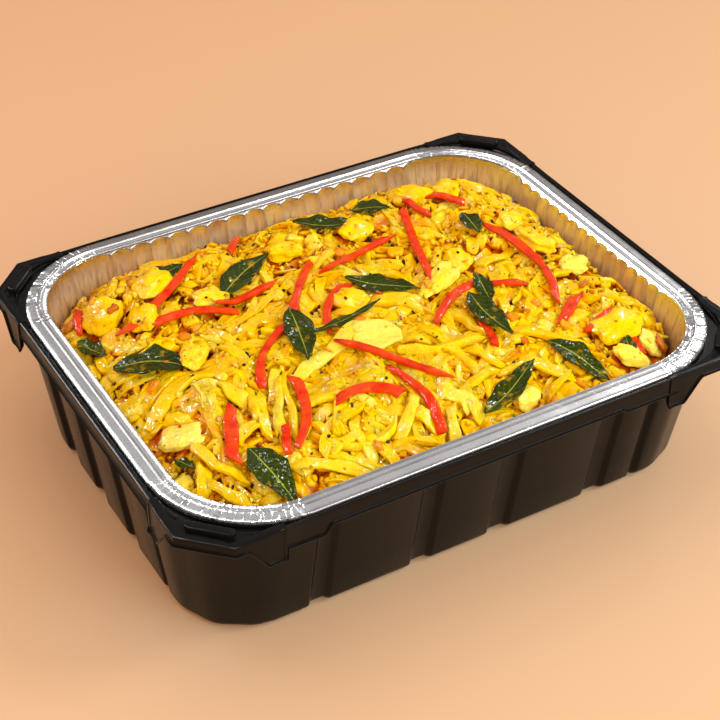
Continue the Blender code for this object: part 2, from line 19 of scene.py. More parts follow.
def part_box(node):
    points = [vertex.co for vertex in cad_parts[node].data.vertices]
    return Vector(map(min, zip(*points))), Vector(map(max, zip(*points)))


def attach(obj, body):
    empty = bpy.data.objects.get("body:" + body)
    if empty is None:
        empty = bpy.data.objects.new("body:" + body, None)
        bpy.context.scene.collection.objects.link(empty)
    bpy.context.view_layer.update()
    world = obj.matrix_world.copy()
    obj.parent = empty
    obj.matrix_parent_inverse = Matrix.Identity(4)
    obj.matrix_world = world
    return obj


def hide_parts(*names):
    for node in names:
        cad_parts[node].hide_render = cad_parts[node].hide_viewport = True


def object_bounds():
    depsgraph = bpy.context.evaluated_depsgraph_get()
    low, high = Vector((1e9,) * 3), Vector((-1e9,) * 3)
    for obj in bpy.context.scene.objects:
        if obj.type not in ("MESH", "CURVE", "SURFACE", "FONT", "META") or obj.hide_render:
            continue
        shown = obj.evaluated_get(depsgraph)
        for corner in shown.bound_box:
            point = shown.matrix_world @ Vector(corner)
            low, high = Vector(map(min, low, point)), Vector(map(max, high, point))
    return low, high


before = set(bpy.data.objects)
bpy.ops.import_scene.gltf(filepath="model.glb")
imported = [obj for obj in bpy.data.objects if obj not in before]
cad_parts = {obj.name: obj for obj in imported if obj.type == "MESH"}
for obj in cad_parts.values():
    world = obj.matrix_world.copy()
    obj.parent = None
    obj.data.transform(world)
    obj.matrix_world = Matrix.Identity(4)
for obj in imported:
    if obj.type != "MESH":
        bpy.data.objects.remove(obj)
CAD_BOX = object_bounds()
FOIL_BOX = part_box("foil_tray")

bl_info = {
    "name": "Tray of Turmeric Cabbage",
    "version": (1, 0, 0),
    "blender": (4, 5, 0),
    "location": "View3D > Sidebar > Cabbage Tray",
    "description": "A foil tray of cabbage shreds with toppings, held in a black carrier tray",
    "category": "Object",
}

MM = 0.001
SIDES = ("right", "back", "left", "front")
CORNERS = ("back_right", "back_left", "front_left", "front_right")
CORNER_SIGNS = {
    "back_right": (1, 1),
    "back_left": (-1, 1),
    "front_left": (-1, -1),
    "front_right": (1, -1),
}

# -------- settings


def length(name, text, default, low=0.0, high=1.0):
    return bpy.props.FloatProperty(
        name=name, description=text, default=default, min=low, max=high, unit="LENGTH"
    )


def count(name, text, default, high=5000):
    return bpy.props.IntProperty(name=name, description=text, default=default, min=0, max=high)


def colour(name, text, default):
    return bpy.props.FloatVectorProperty(
        name=name, description=text, default=default, min=0.0, max=1.0, size=3, subtype="COLOR"
    )


def swing(name, text, degrees):
    return bpy.props.FloatProperty(
        name=name, description=text, default=math.radians(degrees), subtype="ANGLE"
    )


class CarrierSettings(bpy.types.PropertyGroup):
    base_half_x: length("Base half length", "Half the base's length", 0.1407)
    base_half_y: length("Base half width", "Half the base's width", 0.1015)
    base_corner: length("Base corner", "Radius of the base's corners", 0.0365)
    base_rounding: length("Base rounding", "Radius of the edge round the base", 0.0045)
    groove_depth: length("Groove depth", "Depth of the grooves between wall panels", 0.0026)
    skirt_depth: length("Skirt depth", "Depth of the skirt under the foil rim's top", 0.0092)
    bar_length: length("Bar length", "Length of the raised bar on each corner", 0.0230)
    plastic: colour("Plastic", "Colour of the black plastic", (0.0034, 0.0032, 0.0032))


class FoilSettings(bpy.types.PropertyGroup):
    corner: length("Corner radius", "Radius of the rim's outer corners", 0.0552)
    floor: length("Floor height", "Height of the foil's floor over the table", 0.0120)
    thickness: length("Thickness", "Thickness of the foil", 0.0003)
    flutes_long: count("Long side flutes", "Flutes along each long side", 17)
    flutes_short: count("Short side flutes", "Flutes along each short side", 15)
    flute_depth: length("Flute depth", "How far the ridges between flutes stand inwards", 0.0026)
    pleats: count("Corner pleats", "Pleats round each corner of the rim", 30)
    metal: colour("Metal", "Colour of the bare foil", (0.86, 0.86, 0.87))


class CabbageSettings(bpy.types.PropertyGroup):
    seed: count("Seed", "Seed of the heap's arrangement", 11)
    strands: count("Long shreds", "Most long shreds", 620)
    threads: count("Thin shreds", "Most thin shreds", 300)
    slices: count("Short slices", "Most short, broad slices", 620)
    lumps: count("Soft lumps", "Most soft lumps", 520)
    crumbs: count("Crumbs", "Most cabbage crumbs", 420)
    tries: count("Tries", "Places that are tried for loose pieces", 9000, 50000)
    depth: length("Loose depth", "Depth of the loose pieces over the packed bed", 0.0085)
    # The deep colour is mostly the painted shade of the recesses and deeper pieces, where the tone falls
    # low
    deep: colour("Deep colour", "Turmeric colour in the recesses", (0.55, 0.100, 0.0002))
    golden: colour("Golden colour", "Main turmeric colour", (0.87, 0.435, 0.0003))
    yellow: colour("Yellow colour", "Colour of the lighter shreds", (0.89, 0.62, 0.0006))
    pale: colour("Pale colour", "Colour of the thick pale ribs", (0.87, 0.74, 0.110))


class ToppingSettings(bpy.types.PropertyGroup):
    crumbs: count("Masala crumbs", "Number of small turmeric crumbs", 1500)
    seeds: count("Mustard seeds", "Number of mustard seeds", 160)
    lentils: count("Lentils", "Number of fried split lentils", 40)
    onions: count("Onion bits", "Number of browned onion bits", 34)
    flakes: count("Chilli flakes", "Number of chilli flakes", 260)
    specks: count("Pepper specks", "Number of black pepper specks", 520)
    pepper: colour("Pepper", "Colour of the pepper's skin", (0.56, 0.012, 0.0002))
    leaf: colour("Leaf", "Colour of the curry leaves", (0.002, 0.009, 0.0002))


class StageSettings(bpy.types.PropertyGroup):
    lens: bpy.props.FloatProperty(
        name="Lens", description="Focal length of the camera, in millimetres", default=87.9, min=10.0,
        max=300.0,
    )
    azimuth: swing("Azimuth", "Direction of the camera", -30.53)
    elevation: swing("Elevation", "Height angle of the camera", 37.22)
    roll: swing("Roll", "Turn of the camera about its view", 0.36)
    distance: length("Distance", "Distance from the camera to its target", 0.8414, 0.1, 5.0)
    floor: colour("Floor", "Colour of the floor", (0.65, 0.43, 0.26))


# -------- meshes


def finish_piece(name, mesh, material, replaces=(), sharp_degrees=None):
    """Puts a finished mesh into the scene and ties it to the frame."""
    mesh.name = name
    mesh.shade_smooth()
    if sharp_degrees is not None:
        mesh.set_sharp_from_angle(angle=math.radians(sharp_degrees))
    mesh.materials.clear()
    mesh.materials.append(material)
    piece = bpy.data.objects.new(name, mesh)
    bpy.context.scene.collection.objects.link(piece)
    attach(piece, "root")
    if replaces:
        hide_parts(*replaces)
    return piece


def thicken(piece, thickness):
    """Gives a sheet its thickness, behind its faces."""
    solid = piece.modifiers.new("Sheet", "SOLIDIFY")
    solid.thickness = thickness
    solid.offset = -1.0


def mesh_from(bm, name):
    """Turns a bmesh into a mesh and frees it."""
    mesh = bpy.data.meshes.new(name)
    bm.to_mesh(mesh)
    bm.free()
    return mesh


def skin(rings, cap_start=True, cap_end=True):
    """Surface through a stack of rings: each ring's face is extruded onto the next ring."""
    bm = bmesh.new()
    face = bm.faces.new([bm.verts.new(point) for point in rings[0]])
    first = None
    for level, ring in enumerate(rings[1:]):
        grown = bmesh.ops.extrude_face_region(bm, geom=[face])
        if level:
            bmesh.ops.delete(bm, geom=[face], context="FACES_ONLY")
        else:
            first = face
        face = next(part for part in grown["geom"] if isinstance(part, bmesh.types.BMFace))
        for corner, point in zip(face.loops, ring):
            corner.vert.co = point
    loose = ([] if cap_start else [first]) + ([] if cap_end else [face])
    if loose:
        bmesh.ops.delete(bm, geom=loose, context="FACES_ONLY")
    return bm


def node_tree(node):
    """Search tree over a frame node's surface, for casting rays at it."""
    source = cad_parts[node].data
    source.calc_loop_triangles()
    points = [vert.co.copy() for vert in source.vertices]
    return BVHTree.FromPolygons(points, [list(t.vertices) for t in source.loop_triangles])


def smoothstep(low, high, value):
    """0 below low and 1 above high, with a soft rise between them."""
    t = min(1.0, max(0.0, (value - low) / (high - low)))
    return t * t * (3.0 - 2.0 * t)


def ramp(values, low, high):
    """The same soft rise for an array."""
    t = np.clip((values - low) / (high - low), 0.0, 1.0)
    return t * t * (3.0 - 2.0 * t)


# -------- outlines


def corner_turn(corner, fraction):
    """Share of the quarter turn from the short side, for a counter-clockwise share of a corner."""
    return fraction if corner in ("back_right", "front_left") else 1.0 - fraction


def rounded_point(station, half_x, half_y, radius, inset=0.0):
    """Point of a rounded rectangle at a station, moved inwards by inset."""
    kind, name, position = station
    if kind == "corner":
        sign_x, sign_y = CORNER_SIGNS[name]
        angle = corner_turn(name, position) * math.pi / 2
        reach = radius - inset
        return (
            sign_x * (half_x - radius + reach * math.cos(angle)),
            sign_y * (half_y - radius + reach * math.sin(angle)),
        )
    if name in ("front", "back"):
        return position, (half_y - inset) * (1 if name == "back" else -1)
    return (half_x - inset) * (1 if name == "right" else -1), position


def make_stations(side_positions, corner_fractions):
    """Stations all round, counter-clockwise from the front of the right side."""
    stations = []
    for side, corner in zip(SIDES, CORNERS):
        ordered = sorted(side_positions[side], reverse=side in ("back", "left"))
        stations += [("side", side, position) for position in ordered]
        stations += [("corner", corner, fraction) for fraction in corner_fractions]
    return stations


# -------- carrier tray

WALL_FLARE_X = 0.130
WALL_FLARE_Y = 0.175
SHEET = 0.0010
SHELF_DEPTH = 0.0041
RAIL_DEPTH = 0.0012
RAIL_HALF_X = 0.1538
RAIL_HALF_Y = 0.1230
# Half length, half width and corner radius of the well that takes the foil tray
WELL = (0.1512, 0.1214, 0.0425)
SKIRT_LIP = 0.0010
GROOVE_FLANK = 0.0032
# Grooves between the wall's panels: middle, width
LONG_SIDE_GROOVES = (
    (-0.0834, 0.0124),
    (-0.0280, 0.0134),
    (0.0164, 0.0142),
    (0.0732, 0.0145),
    (0.0980, 0.0070),
)
SHORT_SIDE_GROOVES = (
    (-0.0585, 0.0070),
    (-0.0210, 0.0140),
    (0.0175, 0.0160),
    (0.0520, 0.0160),
)
CORNER_FLUTES = 5
CORNER_FLUTE_DEPTH = 0.0009
# Outer edges of the raised corner platforms
PLATFORM_HALF_X = 0.1550
PLATFORM_HALF_Y = 0.1236
# Where a platform's chamfer ends on its long edge (x) and starts on its short edge (y)
CHAMFER_X = 0.1354
CHAMFER_Y = 0.1040
PLATFORM_SKIRT_DEPTH = 0.0066
HOUSING_DEPTH = 0.0190
# Where each platform starts along the long side and along the short side
PLATFORM_STARTS = {
    "back_right": (0.112, 0.073),
    "back_left": (0.112, 0.073),
    "front_left": (0.110, 0.077),
    "front_right": (0.096, 0.077),
}
# Deeper stretches of skirt on the front and the back: from, to, depth
DEEP_SKIRTS = ((-0.112, -0.0926, 0.0140), (0.0710, 0.112, 0.0110))
SKIRT_STEP = 0.0046
BORDER_WIDTH = 0.0046
BORDER_STEP = 0.0008
BAR_WIDTH = 0.0052
BAR_HEIGHT = 0.0020
BAR_INSET = 0.0078
BAR_SINK = 0.0004
# Run of a platform's edge from its start to its chamfer: (distance from the start, how far it
# stands proud, share of the housing's extra depth)
PLATFORM_RUN = (
    (0.0000, -0.0010, 0.0),
    (0.0002, -0.0009, 0.80),
    (0.0005, 0.0, 0.93),
    (0.0009, 0.0, 1.0),
    (0.0017, 0.0, 1.0),
    (0.0021, -0.0004, 1.0),
    (0.0060, -0.0004, 1.0),
    (0.0094, 0.0, 1.0),
    (0.0106, 0.0, 0.94),
    (0.0150, 0.0, 0.45),
    (0.0180, 0.0, 0.12),
    (0.0196, 0.0, 0.0),
)
CHAMFER_POINTS = 5
# Skirt, from inside its lower edge to outside it: inset from the rail's edge, height over the edge
SKIRT_PROFILE = (
    (SHEET, 0.0016),
    (0.0004, 0.0003),
    (-0.0003, 0.0),
    (0.0002 - SKIRT_LIP, 0.0001),
    (-SKIRT_LIP, 0.0005),
    (0.0003 - SKIRT_LIP, 0.0010),
    (0.0, 0.0016),
    (0.0, 0.0021),
)
# Rail, from the skirt inwards: inset and depth under the rail's top, and the same on the platforms,
# whose middles lie lower than their borders
RAIL_PROFILE = (
    (0.0, 0.0024, 0.0, 0.0024),
    (0.0, 0.0009, 0.0, 0.0009),
    (0.0002, 0.0003, 0.0002, 0.0003),
    (0.0007, 0.0, 0.0007, 0.0),
    (0.0010, 0.00005, BORDER_WIDTH - 0.0009, 0.00005),
    (0.0013, 0.0003, BORDER_WIDTH - 0.0003, 0.0002),
    (0.0016, 0.0004, BORDER_WIDTH, BORDER_STEP * 0.8),
    (0.0019, 0.0004, BORDER_WIDTH + 0.0004, BORDER_STEP),
)
# Well, from the rail down to the shelf: inset from the well's edge, depth under the foil rim's top
WELL_PROFILE = (
    (-0.0002, RAIL_DEPTH + 0.0006),
    (0.0002, RAIL_DEPTH + 0.0014),
    (0.0003, SHELF_DEPTH - 0.0004),
    (0.0008, SHELF_DEPTH),
)
CARRIER_CORNER_STEPS = 2 * len(PLATFORM_RUN) + CHAMFER_POINTS - 1


def platform_path(corner):
    """(x, y, share of the housing's depth) round a platform, from the short to the long side."""
    start_x, start_y = PLATFORM_STARTS[corner]
    path = [(PLATFORM_HALF_X + proud, start_y + run, deep) for run, proud, deep in PLATFORM_RUN]
    for step in range(CHAMFER_POINTS):
        t = step / (CHAMFER_POINTS - 1)
        x = PLATFORM_HALF_X + (CHAMFER_X - PLATFORM_HALF_X) * t
        y = CHAMFER_Y + (PLATFORM_HALF_Y - CHAMFER_Y) * t
        path.append((x, y, 0.0))
    for run, proud, deep in reversed(PLATFORM_RUN):
        path.append((start_x + run, PLATFORM_HALF_Y + proud, deep))
    return path


def edge_normals():
    """Outward direction at each point of a platform's path, as its miter."""
    slant = math.sqrt(0.5)
    normals = [(1.0, 0.0)] * len(PLATFORM_RUN)
    normals.append((1.0, math.tan(math.pi / 8)))
    normals += [(slant, slant)] * (CHAMFER_POINTS - 2)
    normals += [(0.0, 1.0)] * (len(PLATFORM_RUN) + 1)
    return normals


PLATFORM_PATHS = {corner: platform_path(corner) for corner in CORNERS}
PLATFORM_NORMALS = edge_normals()


def platform_index(corner, fraction):
    return round(corner_turn(corner, fraction) * CARRIER_CORNER_STEPS)


def flange_point(station, inset):
    """Point of the flange's outer edge at a station, moved inwards by inset."""
    kind, name, position = station
    if kind == "side":
        return rounded_point(station, RAIL_HALF_X, RAIL_HALF_Y, 0.0, inset)
    index = platform_index(name, position)
    x, y, _ = PLATFORM_PATHS[name][index]
    out_x, out_y = PLATFORM_NORMALS[index]
    sign_x, sign_y = CORNER_SIGNS[name]
    return sign_x * (x - out_x * inset), sign_y * (y - out_y * inset)


def skirt_step(deep):
    """Length of the slope at each end of a deeper stretch of skirt."""
    return SKIRT_STEP if deep > 0.012 else SKIRT_STEP / 2


def side_skirt_depth(name, position, plain):
    """Depth of the skirt along a side, with its deeper stretches."""
    if name not in ("front", "back"):
        return plain
    depth = plain
    for low, high, deep in DEEP_SKIRTS:
        step = skirt_step(deep)
        inside = smoothstep(low - step, low, position) * (1.0 - smoothstep(high, high + step, position))
        depth += (deep - plain) * inside
    return depth


def skirt_depth(station, plain):
    """How far the skirt hangs under the foil rim's top at a station."""
    kind, name, position = station
    if kind == "side":
        return side_skirt_depth(name, position, plain)
    index = platform_index(name, position)
    deep = PLATFORM_PATHS[name][index][2]
    if index in (0, CARRIER_CORNER_STEPS):
        side = name.split("_")[0] if index else name.split("_")[1]
        sign_x = CORNER_SIGNS[name][0]
        return side_skirt_depth(side, sign_x * PLATFORM_STARTS[name][0], plain)
    return PLATFORM_SKIRT_DEPTH + (HOUSING_DEPTH - PLATFORM_SKIRT_DEPTH) * deep


def groove_inset(station, depth):
    """How far the wall is set in at a station, for the grooves and the corners' flutes."""
    kind, name, position = station
    if kind == "corner":
        wave = math.sin(position * math.pi * (CORNER_FLUTES + 0.5))
        fade = smoothstep(0.04, 0.2, position) * (1.0 - smoothstep(0.8, 0.96, position))
        return CORNER_FLUTE_DEPTH * fade * (0.5 - 0.5 * wave)
    grooves = LONG_SIDE_GROOVES if name in ("front", "back") else SHORT_SIDE_GROOVES
    inset = 0.0
    for centre, width in grooves:
        away = abs(position - centre)
        inset = max(inset, 1.0 - smoothstep(width / 2 - GROOVE_FLANK, width / 2, away))
    return depth * inset


def carrier_stations():
    """Stations round the carrier: dense on the grooves' flanks, the skirt's steps and the corners."""
    positions = {}
    for side in SIDES:
        long_side = side in ("front", "back")
        places = set()
        for centre, width in LONG_SIDE_GROOVES if long_side else SHORT_SIDE_GROOVES:
            for step in range(7):
                away = width / 2 - GROOVE_FLANK * step / 6
                places |= {round(centre - away, 5), round(centre + away, 5)}
        for low, high, deep in DEEP_SKIRTS if long_side else ():
            step = skirt_step(deep)
            places |= {round(high + step * t / 4, 5) for t in range(5) if high < 0.09}
            places |= {round(low - step * t / 4, 5) for t in range(5) if low > -0.09}
        positions[side] = places
    steps = CARRIER_CORNER_STEPS
    return make_stations(positions, [step / steps for step in range(steps + 1)])


def carrier_wall(stations, settings, height, inset):
    """Ring on the carrier's wall at a height, set in from its outer face."""
    half_x = settings.base_half_x + WALL_FLARE_X * height
    half_y = settings.base_half_y + WALL_FLARE_Y * height
    radius = settings.base_corner + WALL_FLARE_X * height
    ring = []
    for station in stations:
        depth = inset + groove_inset(station, settings.groove_depth)
        x, y = rounded_point(station, half_x, half_y, radius, depth)
        ring.append(Vector((x, y, height)))
    return ring


def flange_ring(stations, inset, depth, platform_inset, platform_depth):
    """Ring on the flange: its inset and its depth under the rail, along it and on the platforms."""
    ring = []
    for station in stations:
        kind, name, position = station
        raised = kind == "corner" and platform_index(name, position) not in (0, CARRIER_CORNER_STEPS)
        x, y = flange_point(station, platform_inset if raised else inset)
        below = RAIL_DEPTH + (platform_depth if raised else depth)
        ring.append(Vector((x, y, FOIL_BOX[1].z - below)))
    return ring


def lip_ring(stations, inset, above, plain):
    """Ring on the skirt, at a height above its lower edge."""
    ring = []
    for station in stations:
        x, y = flange_point(station, inset)
        ring.append(Vector((x, y, FOIL_BOX[1].z - skirt_depth(station, plain) + above)))
    return ring


def plan_ring(stations, half_x, half_y, radius, inset, depth):
    """Ring on a rounded rectangle, at a depth under the foil rim's top."""
    height = FOIL_BOX[1].z - depth
    return [Vector((*rounded_point(s, half_x, half_y, radius, inset), height)) for s in stations]


def add_bar(bm, corner, bar_length):
    """Raised round-ended bar along a platform's chamfer, shaped at the origin and then placed."""
    sign_x, sign_y = CORNER_SIGNS[corner]
    inward = BAR_INSET * math.sqrt(0.5)
    rise = BAR_HEIGHT + BORDER_STEP
    size = Matrix.Diagonal((bar_length, BAR_WIDTH, rise + 2 * BAR_SINK, 1.0))
    made = set(bmesh.ops.create_cube(bm, size=1.0, matrix=size)["verts"])
    upright = [
        edge for edge in bm.edges
        if edge.verts[0] in made and abs(edge.verts[0].co.z - edge.verts[1].co.z) > rise / 2
    ]
    bmesh.ops.bevel(
        bm, geom=upright, offset=BAR_WIDTH / 2 * 0.98, segments=7, profile=0.5, affect="EDGES", material=-1
    )
    top = rise / 2 + BAR_SINK - 1e-5
    rim = [
        edge for edge in bm.edges
        if all(vert.co.z > top and vert.co.length < bar_length for vert in edge.verts)
    ]
    bmesh.ops.bevel(bm, geom=rim, offset=0.0010, segments=3, profile=0.5, affect="EDGES", material=-1)
    place = Matrix.Translation(
        (
            sign_x * ((CHAMFER_X + PLATFORM_HALF_X) / 2 - inward),
            sign_y * ((CHAMFER_Y + PLATFORM_HALF_Y) / 2 - inward),
            FOIL_BOX[1].z - RAIL_DEPTH - BORDER_STEP + rise / 2 - BAR_SINK,
        )
    )
    turn = Matrix.Rotation(math.radians(-45.0 * sign_x * sign_y), 4, "Z")
    bar = [vert for vert in bm.verts if vert.co.length < bar_length]
    bmesh.ops.transform(bm, matrix=place @ turn, verts=bar)


def carrier_rings(settings):
    """The carrier's section as a stack of rings: its underside outwards, over the rim, and inwards."""
    stations = carrier_stations()
    under = FOIL_BOX[1].z - SHELF_DEPTH - SHEET
    top = (
        settings.base_half_x + WALL_FLARE_X * under,
        settings.base_half_y + WALL_FLARE_Y * under,
        settings.base_corner + WALL_FLARE_X * under,
    )
    rounding = settings.base_rounding
    outer = [(0.0009, 0.0150), (0.0007, 0.0128), (0.0, 0.0118)]
    for step in range(7):
        angle = math.pi / 2 * step / 6
        outer.append((rounding * (1.0 - math.cos(angle)), rounding * (1.0 - math.sin(angle))))
    outer += [(height, 0.0) for height in (0.020, 0.040, under - 0.0020, under - 0.0006)]
    inner = (
        (under - 0.0010, SHEET + 0.0004),
        (rounding, SHEET),
        (SHEET, SHEET + rounding * 0.7),
    )
    beneath = SHELF_DEPTH + SHEET - RAIL_DEPTH
    rings = [carrier_wall(stations, settings, height, inset) for height, inset in outer]
    rings.append(plan_ring(stations, *top, -0.0012, SHELF_DEPTH + SHEET))
    rings.append(flange_ring(stations, SHEET + 0.0002, beneath, SHEET + 0.0002, beneath))
    rings += [lip_ring(stations, *row, settings.skirt_depth) for row in SKIRT_PROFILE]
    rings += [flange_ring(stations, *row) for row in RAIL_PROFILE]
    rings += [plan_ring(stations, *WELL, inset, depth) for inset, depth in WELL_PROFILE]
    rings.append(plan_ring(stations, *top, SHEET + 0.0014, SHELF_DEPTH))
    rings += [carrier_wall(stations, settings, height, inset) for height, inset in inner]
    return rings


class CABBAGE_OT_carrier(bpy.types.Operator):
    """Builds the black carrier tray with its grooved walls, flange and corner platforms"""

    bl_idname = "cabbage_tray.carrier"
    bl_label = "Carrier Tray"

    def execute(self, context):
        settings = context.scene.tray_carrier
        bm = skin(carrier_rings(settings))
        for corner in CORNERS:
            add_bar(bm, corner, settings.bar_length)
        bmesh.ops.recalc_face_normals(bm, faces=bm.faces)
        mesh = mesh_from(bm, "carrier_tray")
        material = plastic_material(settings)
        finish_piece("carrier_tray", mesh, material, ["outer_tray"], 32.0)
        return {"FINISHED"}


# -------- foil tray

FOIL_TAPER_X = 0.155
FOIL_TAPER_Y = 0.185
WALL_START_INSET = 0.0108
WALL_START_DEPTH = 0.0063
FOIL_FLOOR_ROUNDING = 0.0040
FLUTE_POINTS = 10
FLUTE_ROUNDNESS = 0.42
# Inset of the rim's ridge, which parts the outer pleats from the inner ones
RIM_RIDGE_INSET = 0.0062
# Rim from its hem inwards: inset from the outer edge, depth under the top, share of the pleating
RIM_PROFILE = (
    (0.0022, 0.0034, 0.0),
    (0.0008, 0.0035, 0.2),
    (0.0002, 0.0031, 0.6),
    (0.0, 0.0024, 0.9),
    (0.0002, 0.00165, 1.0),
    (0.0007, 0.0011, 1.0),
    (0.0012, 0.00078, 1.0),
    (0.003, 0.00058, 0.9),
    (0.0049, 0.0004, 0.7),
    (0.0056, 0.00026, 0.3),
    (0.006, 0.00004, 0.1),
    (0.0063, 0.0, 0.1),
    (0.0066, 0.00022, 0.2),
    (0.0069, 0.00078, 0.3),
    (0.0073, 0.00112, 0.5),
    (0.0079, 0.00126, 0.8),
    (0.0087, 0.00118, 1.0),
    (0.0096, 0.0009, 1.0),
    (0.0102, 0.0006, 0.8),
    (0.01055, 0.00052, 0.3),
    (0.0109, 0.0008, 0.5),
    (0.01115, 0.0015, 0.8),
)
# Depths of the rings down the chamfer that the flutes cut into
CHAMFER_DEPTHS = (0.0018, 0.0021, 0.0024, 0.0027, 0.0030, 0.0033, 0.0036, 0.0039, 0.0044, 0.0055)
CHAMFER_START = 0.0013
CREASE_HALF = 0.0030
PLEAT_DEPTH = 0.00034
CRINKLE_DEPTH = 0.00045


def pleat_bounds(settings):
    """Fractions of a corner's turn at which its pleats start; they are of uneven width."""
    rng = random.Random(settings.pleats)
    widths = [rng.uniform(0.55, 1.45) for _ in range(settings.pleats)]
    return [sum(widths[:index]) / sum(widths) for index in range(settings.pleats + 1)]


def side_flutes(side, settings):
    """Half the length of a fluted side, and how many flutes it has."""
    if side in ("front", "back"):
        return FOIL_BOX[1].x - settings.corner, settings.flutes_long
    return FOIL_BOX[1].y - settings.corner, settings.flutes_short


def foil_stations(settings):
    """Stations round the foil tray: even along the flutes, and at each pleat's creases."""
    positions = {}
    for side in SIDES:
        half, flutes = side_flutes(side, settings)
        steps = flutes * FLUTE_POINTS
        positions[side] = [-half + 2 * half * step / steps for step in range(1, steps)]
    bounds = pleat_bounds(settings)
    fractions = []
    for low, high in zip(bounds, bounds[1:]):
        fractions += [low, low + CREASE_HALF, (low + high) / 2, high - CREASE_HALF]
    return make_stations(positions, fractions + [1.0])


def flute_ridge(station, settings):
    """1 on the narrow ridges between flutes and 0 in their round hollows and round the corners."""
    kind, side, position = station
    if kind == "corner":
        return 0.0
    half, flutes = side_flutes(side, settings)
    phase = (position + half) / (2 * half) * flutes
    return 1.0 - abs(math.cos(math.pi * phase)) ** FLUTE_ROUNDNESS


def corner_fade(fraction):
    """1 round a corner and 0 at its ends, where it meets the straight sides."""
    return smoothstep(0.0, 0.04, fraction) * (1.0 - smoothstep(0.96, 1.0, fraction))


def pleat(station, settings, band):
    """Signed height of the corner pleats at a station: narrow creases between tilted flats."""
    kind, corner, fraction = station
    if kind != "corner":
        return 0.0
    bounds = pleat_bounds(settings)
    index = max(bisect.bisect_right(bounds, fraction + 1e-6) - 1, 0)
    seed = Vector((index * 1.7, CORNERS.index(corner) * 9.3, band * 4.1))
    if min(abs(fraction - bound) for bound in bounds[index : index + 2]) < CREASE_HALF / 2:
        height = 1.3 * noise.cell(seed) - 0.45
        return corner_fade(fraction) * math.copysign(0.45 + abs(height), height)
    middle = (bounds[index] + bounds[min(index + 1, len(bounds) - 1)]) / 2
    tilt = noise.cell(seed + Vector((0.0, 0.0, 31.0))) - 0.5
    return corner_fade(fraction) * tilt * (fraction - middle) * settings.pleats * 1.3


def foil_ring(stations, settings, inset, depth, pleating=0.0, band=0):
    """Ring on the foil's rim, folded by the corner pleats."""
    ring = []
    for station in stations:
        fold = pleat(station, settings, band) * pleating
        shift = inset - fold * PLEAT_DEPTH * 0.7 if inset > 0.0006 else inset + abs(fold) * PLEAT_DEPTH
        x, y = rounded_point(station, FOIL_BOX[1].x, FOIL_BOX[1].y, settings.corner, shift)
        wobble = 0.00008 * noise.noise(Vector((x, y, depth)) * 60.0)
        z = min(FOIL_BOX[1].z, FOIL_BOX[1].z - depth + fold * PLEAT_DEPTH + wobble)
        ring.append(Vector((x, y, z)))
    return ring


def wall_plan(depth, corner):
    """Half length, half width and corner radius of the foil's wall at a depth under its rim's top."""
    below = depth - WALL_START_DEPTH
    half_x = FOIL_BOX[1].x - WALL_START_INSET - FOIL_TAPER_X * below
    half_y = FOIL_BOX[1].y - WALL_START_INSET - FOIL_TAPER_Y * below
    return half_x, half_y, corner - WALL_START_INSET - FOIL_TAPER_X * below


def foil_wall_ring(stations, settings, depth, inset=0.0, fluted=1.0):
    """Ring on the foil's wall: fluted along the sides and crinkled round the corners."""
    half_x, half_y, radius = wall_plan(depth, settings.corner)
    ring = []
    for station in stations:
        kind, name, position = station
        bulge = (0.28 + 0.72 * flute_ridge(station, settings)) * settings.flute_depth * fluted
        bulge = min(bulge, max(depth - CHAMFER_START, 0.0))
        if kind == "corner":
            arc = position * radius * math.pi / 2 / MM
            seed = Vector((arc * 0.34, depth * 22.0, CORNERS.index(name) * 7.7))
            folds = noise.noise(seed) - 1.3 * max(0.0, 1.0 - 9.0 * abs(noise.noise(seed * 1.7)))
            bulge += CRINKLE_DEPTH * corner_fade(position) * smoothstep(0.002, 0.005, depth) * folds
        x, y = rounded_point(station, half_x, half_y, radius, inset + bulge)
        ring.append(Vector((x, y, FOIL_BOX[1].z - depth)))
    return ring


class CABBAGE_OT_foil(bpy.types.Operator):
    """Builds the pleated and fluted foil tray"""

    bl_idname = "cabbage_tray.foil"
    bl_label = "Foil Tray"

    def execute(self, context):
        settings = context.scene.tray_foil
        stations = foil_stations(settings)
        rings = []
        for inset, depth, pleating in RIM_PROFILE:
            band = 0 if inset < RIM_RIDGE_INSET else 1
            rings.append(foil_ring(stations, settings, inset, depth, pleating, band))
        floor_depth = FOIL_BOX[1].z - settings.floor
        for depth in CHAMFER_DEPTHS:
            rings.append(foil_wall_ring(stations, settings, depth))
        for step in range(1, 7):
            depth = CHAMFER_DEPTHS[-1] + (floor_depth - FOIL_FLOOR_ROUNDING - CHAMFER_DEPTHS[-1]) * step / 6
            rings.append(foil_wall_ring(stations, settings, depth))
        rings.append(foil_wall_ring(stations, settings, floor_depth - 0.0012, 0.0012, 0.6))
        rings.append(foil_wall_ring(stations, settings, floor_depth, FOIL_FLOOR_ROUNDING, 0.0))
        bm = skin(rings, cap_start=False)
        bmesh.ops.recalc_face_normals(bm, faces=bm.faces)
        top = max(bm.faces, key=lambda face: face.calc_center_median().z)
        if top.normal.z < 0:
            bmesh.ops.reverse_faces(bm, faces=bm.faces)
        mesh = mesh_from(bm, "foil_pan")
        piece = finish_piece("foil_pan", mesh, foil_material(settings), ["foil_tray"], 34.0)
        thicken(piece, settings.thickness)
        return {"FINISHED"}


# -------- the heap as a height field

CELL = 0.0006
FIELD_X = 0.1416
FIELD_Y = 0.1116


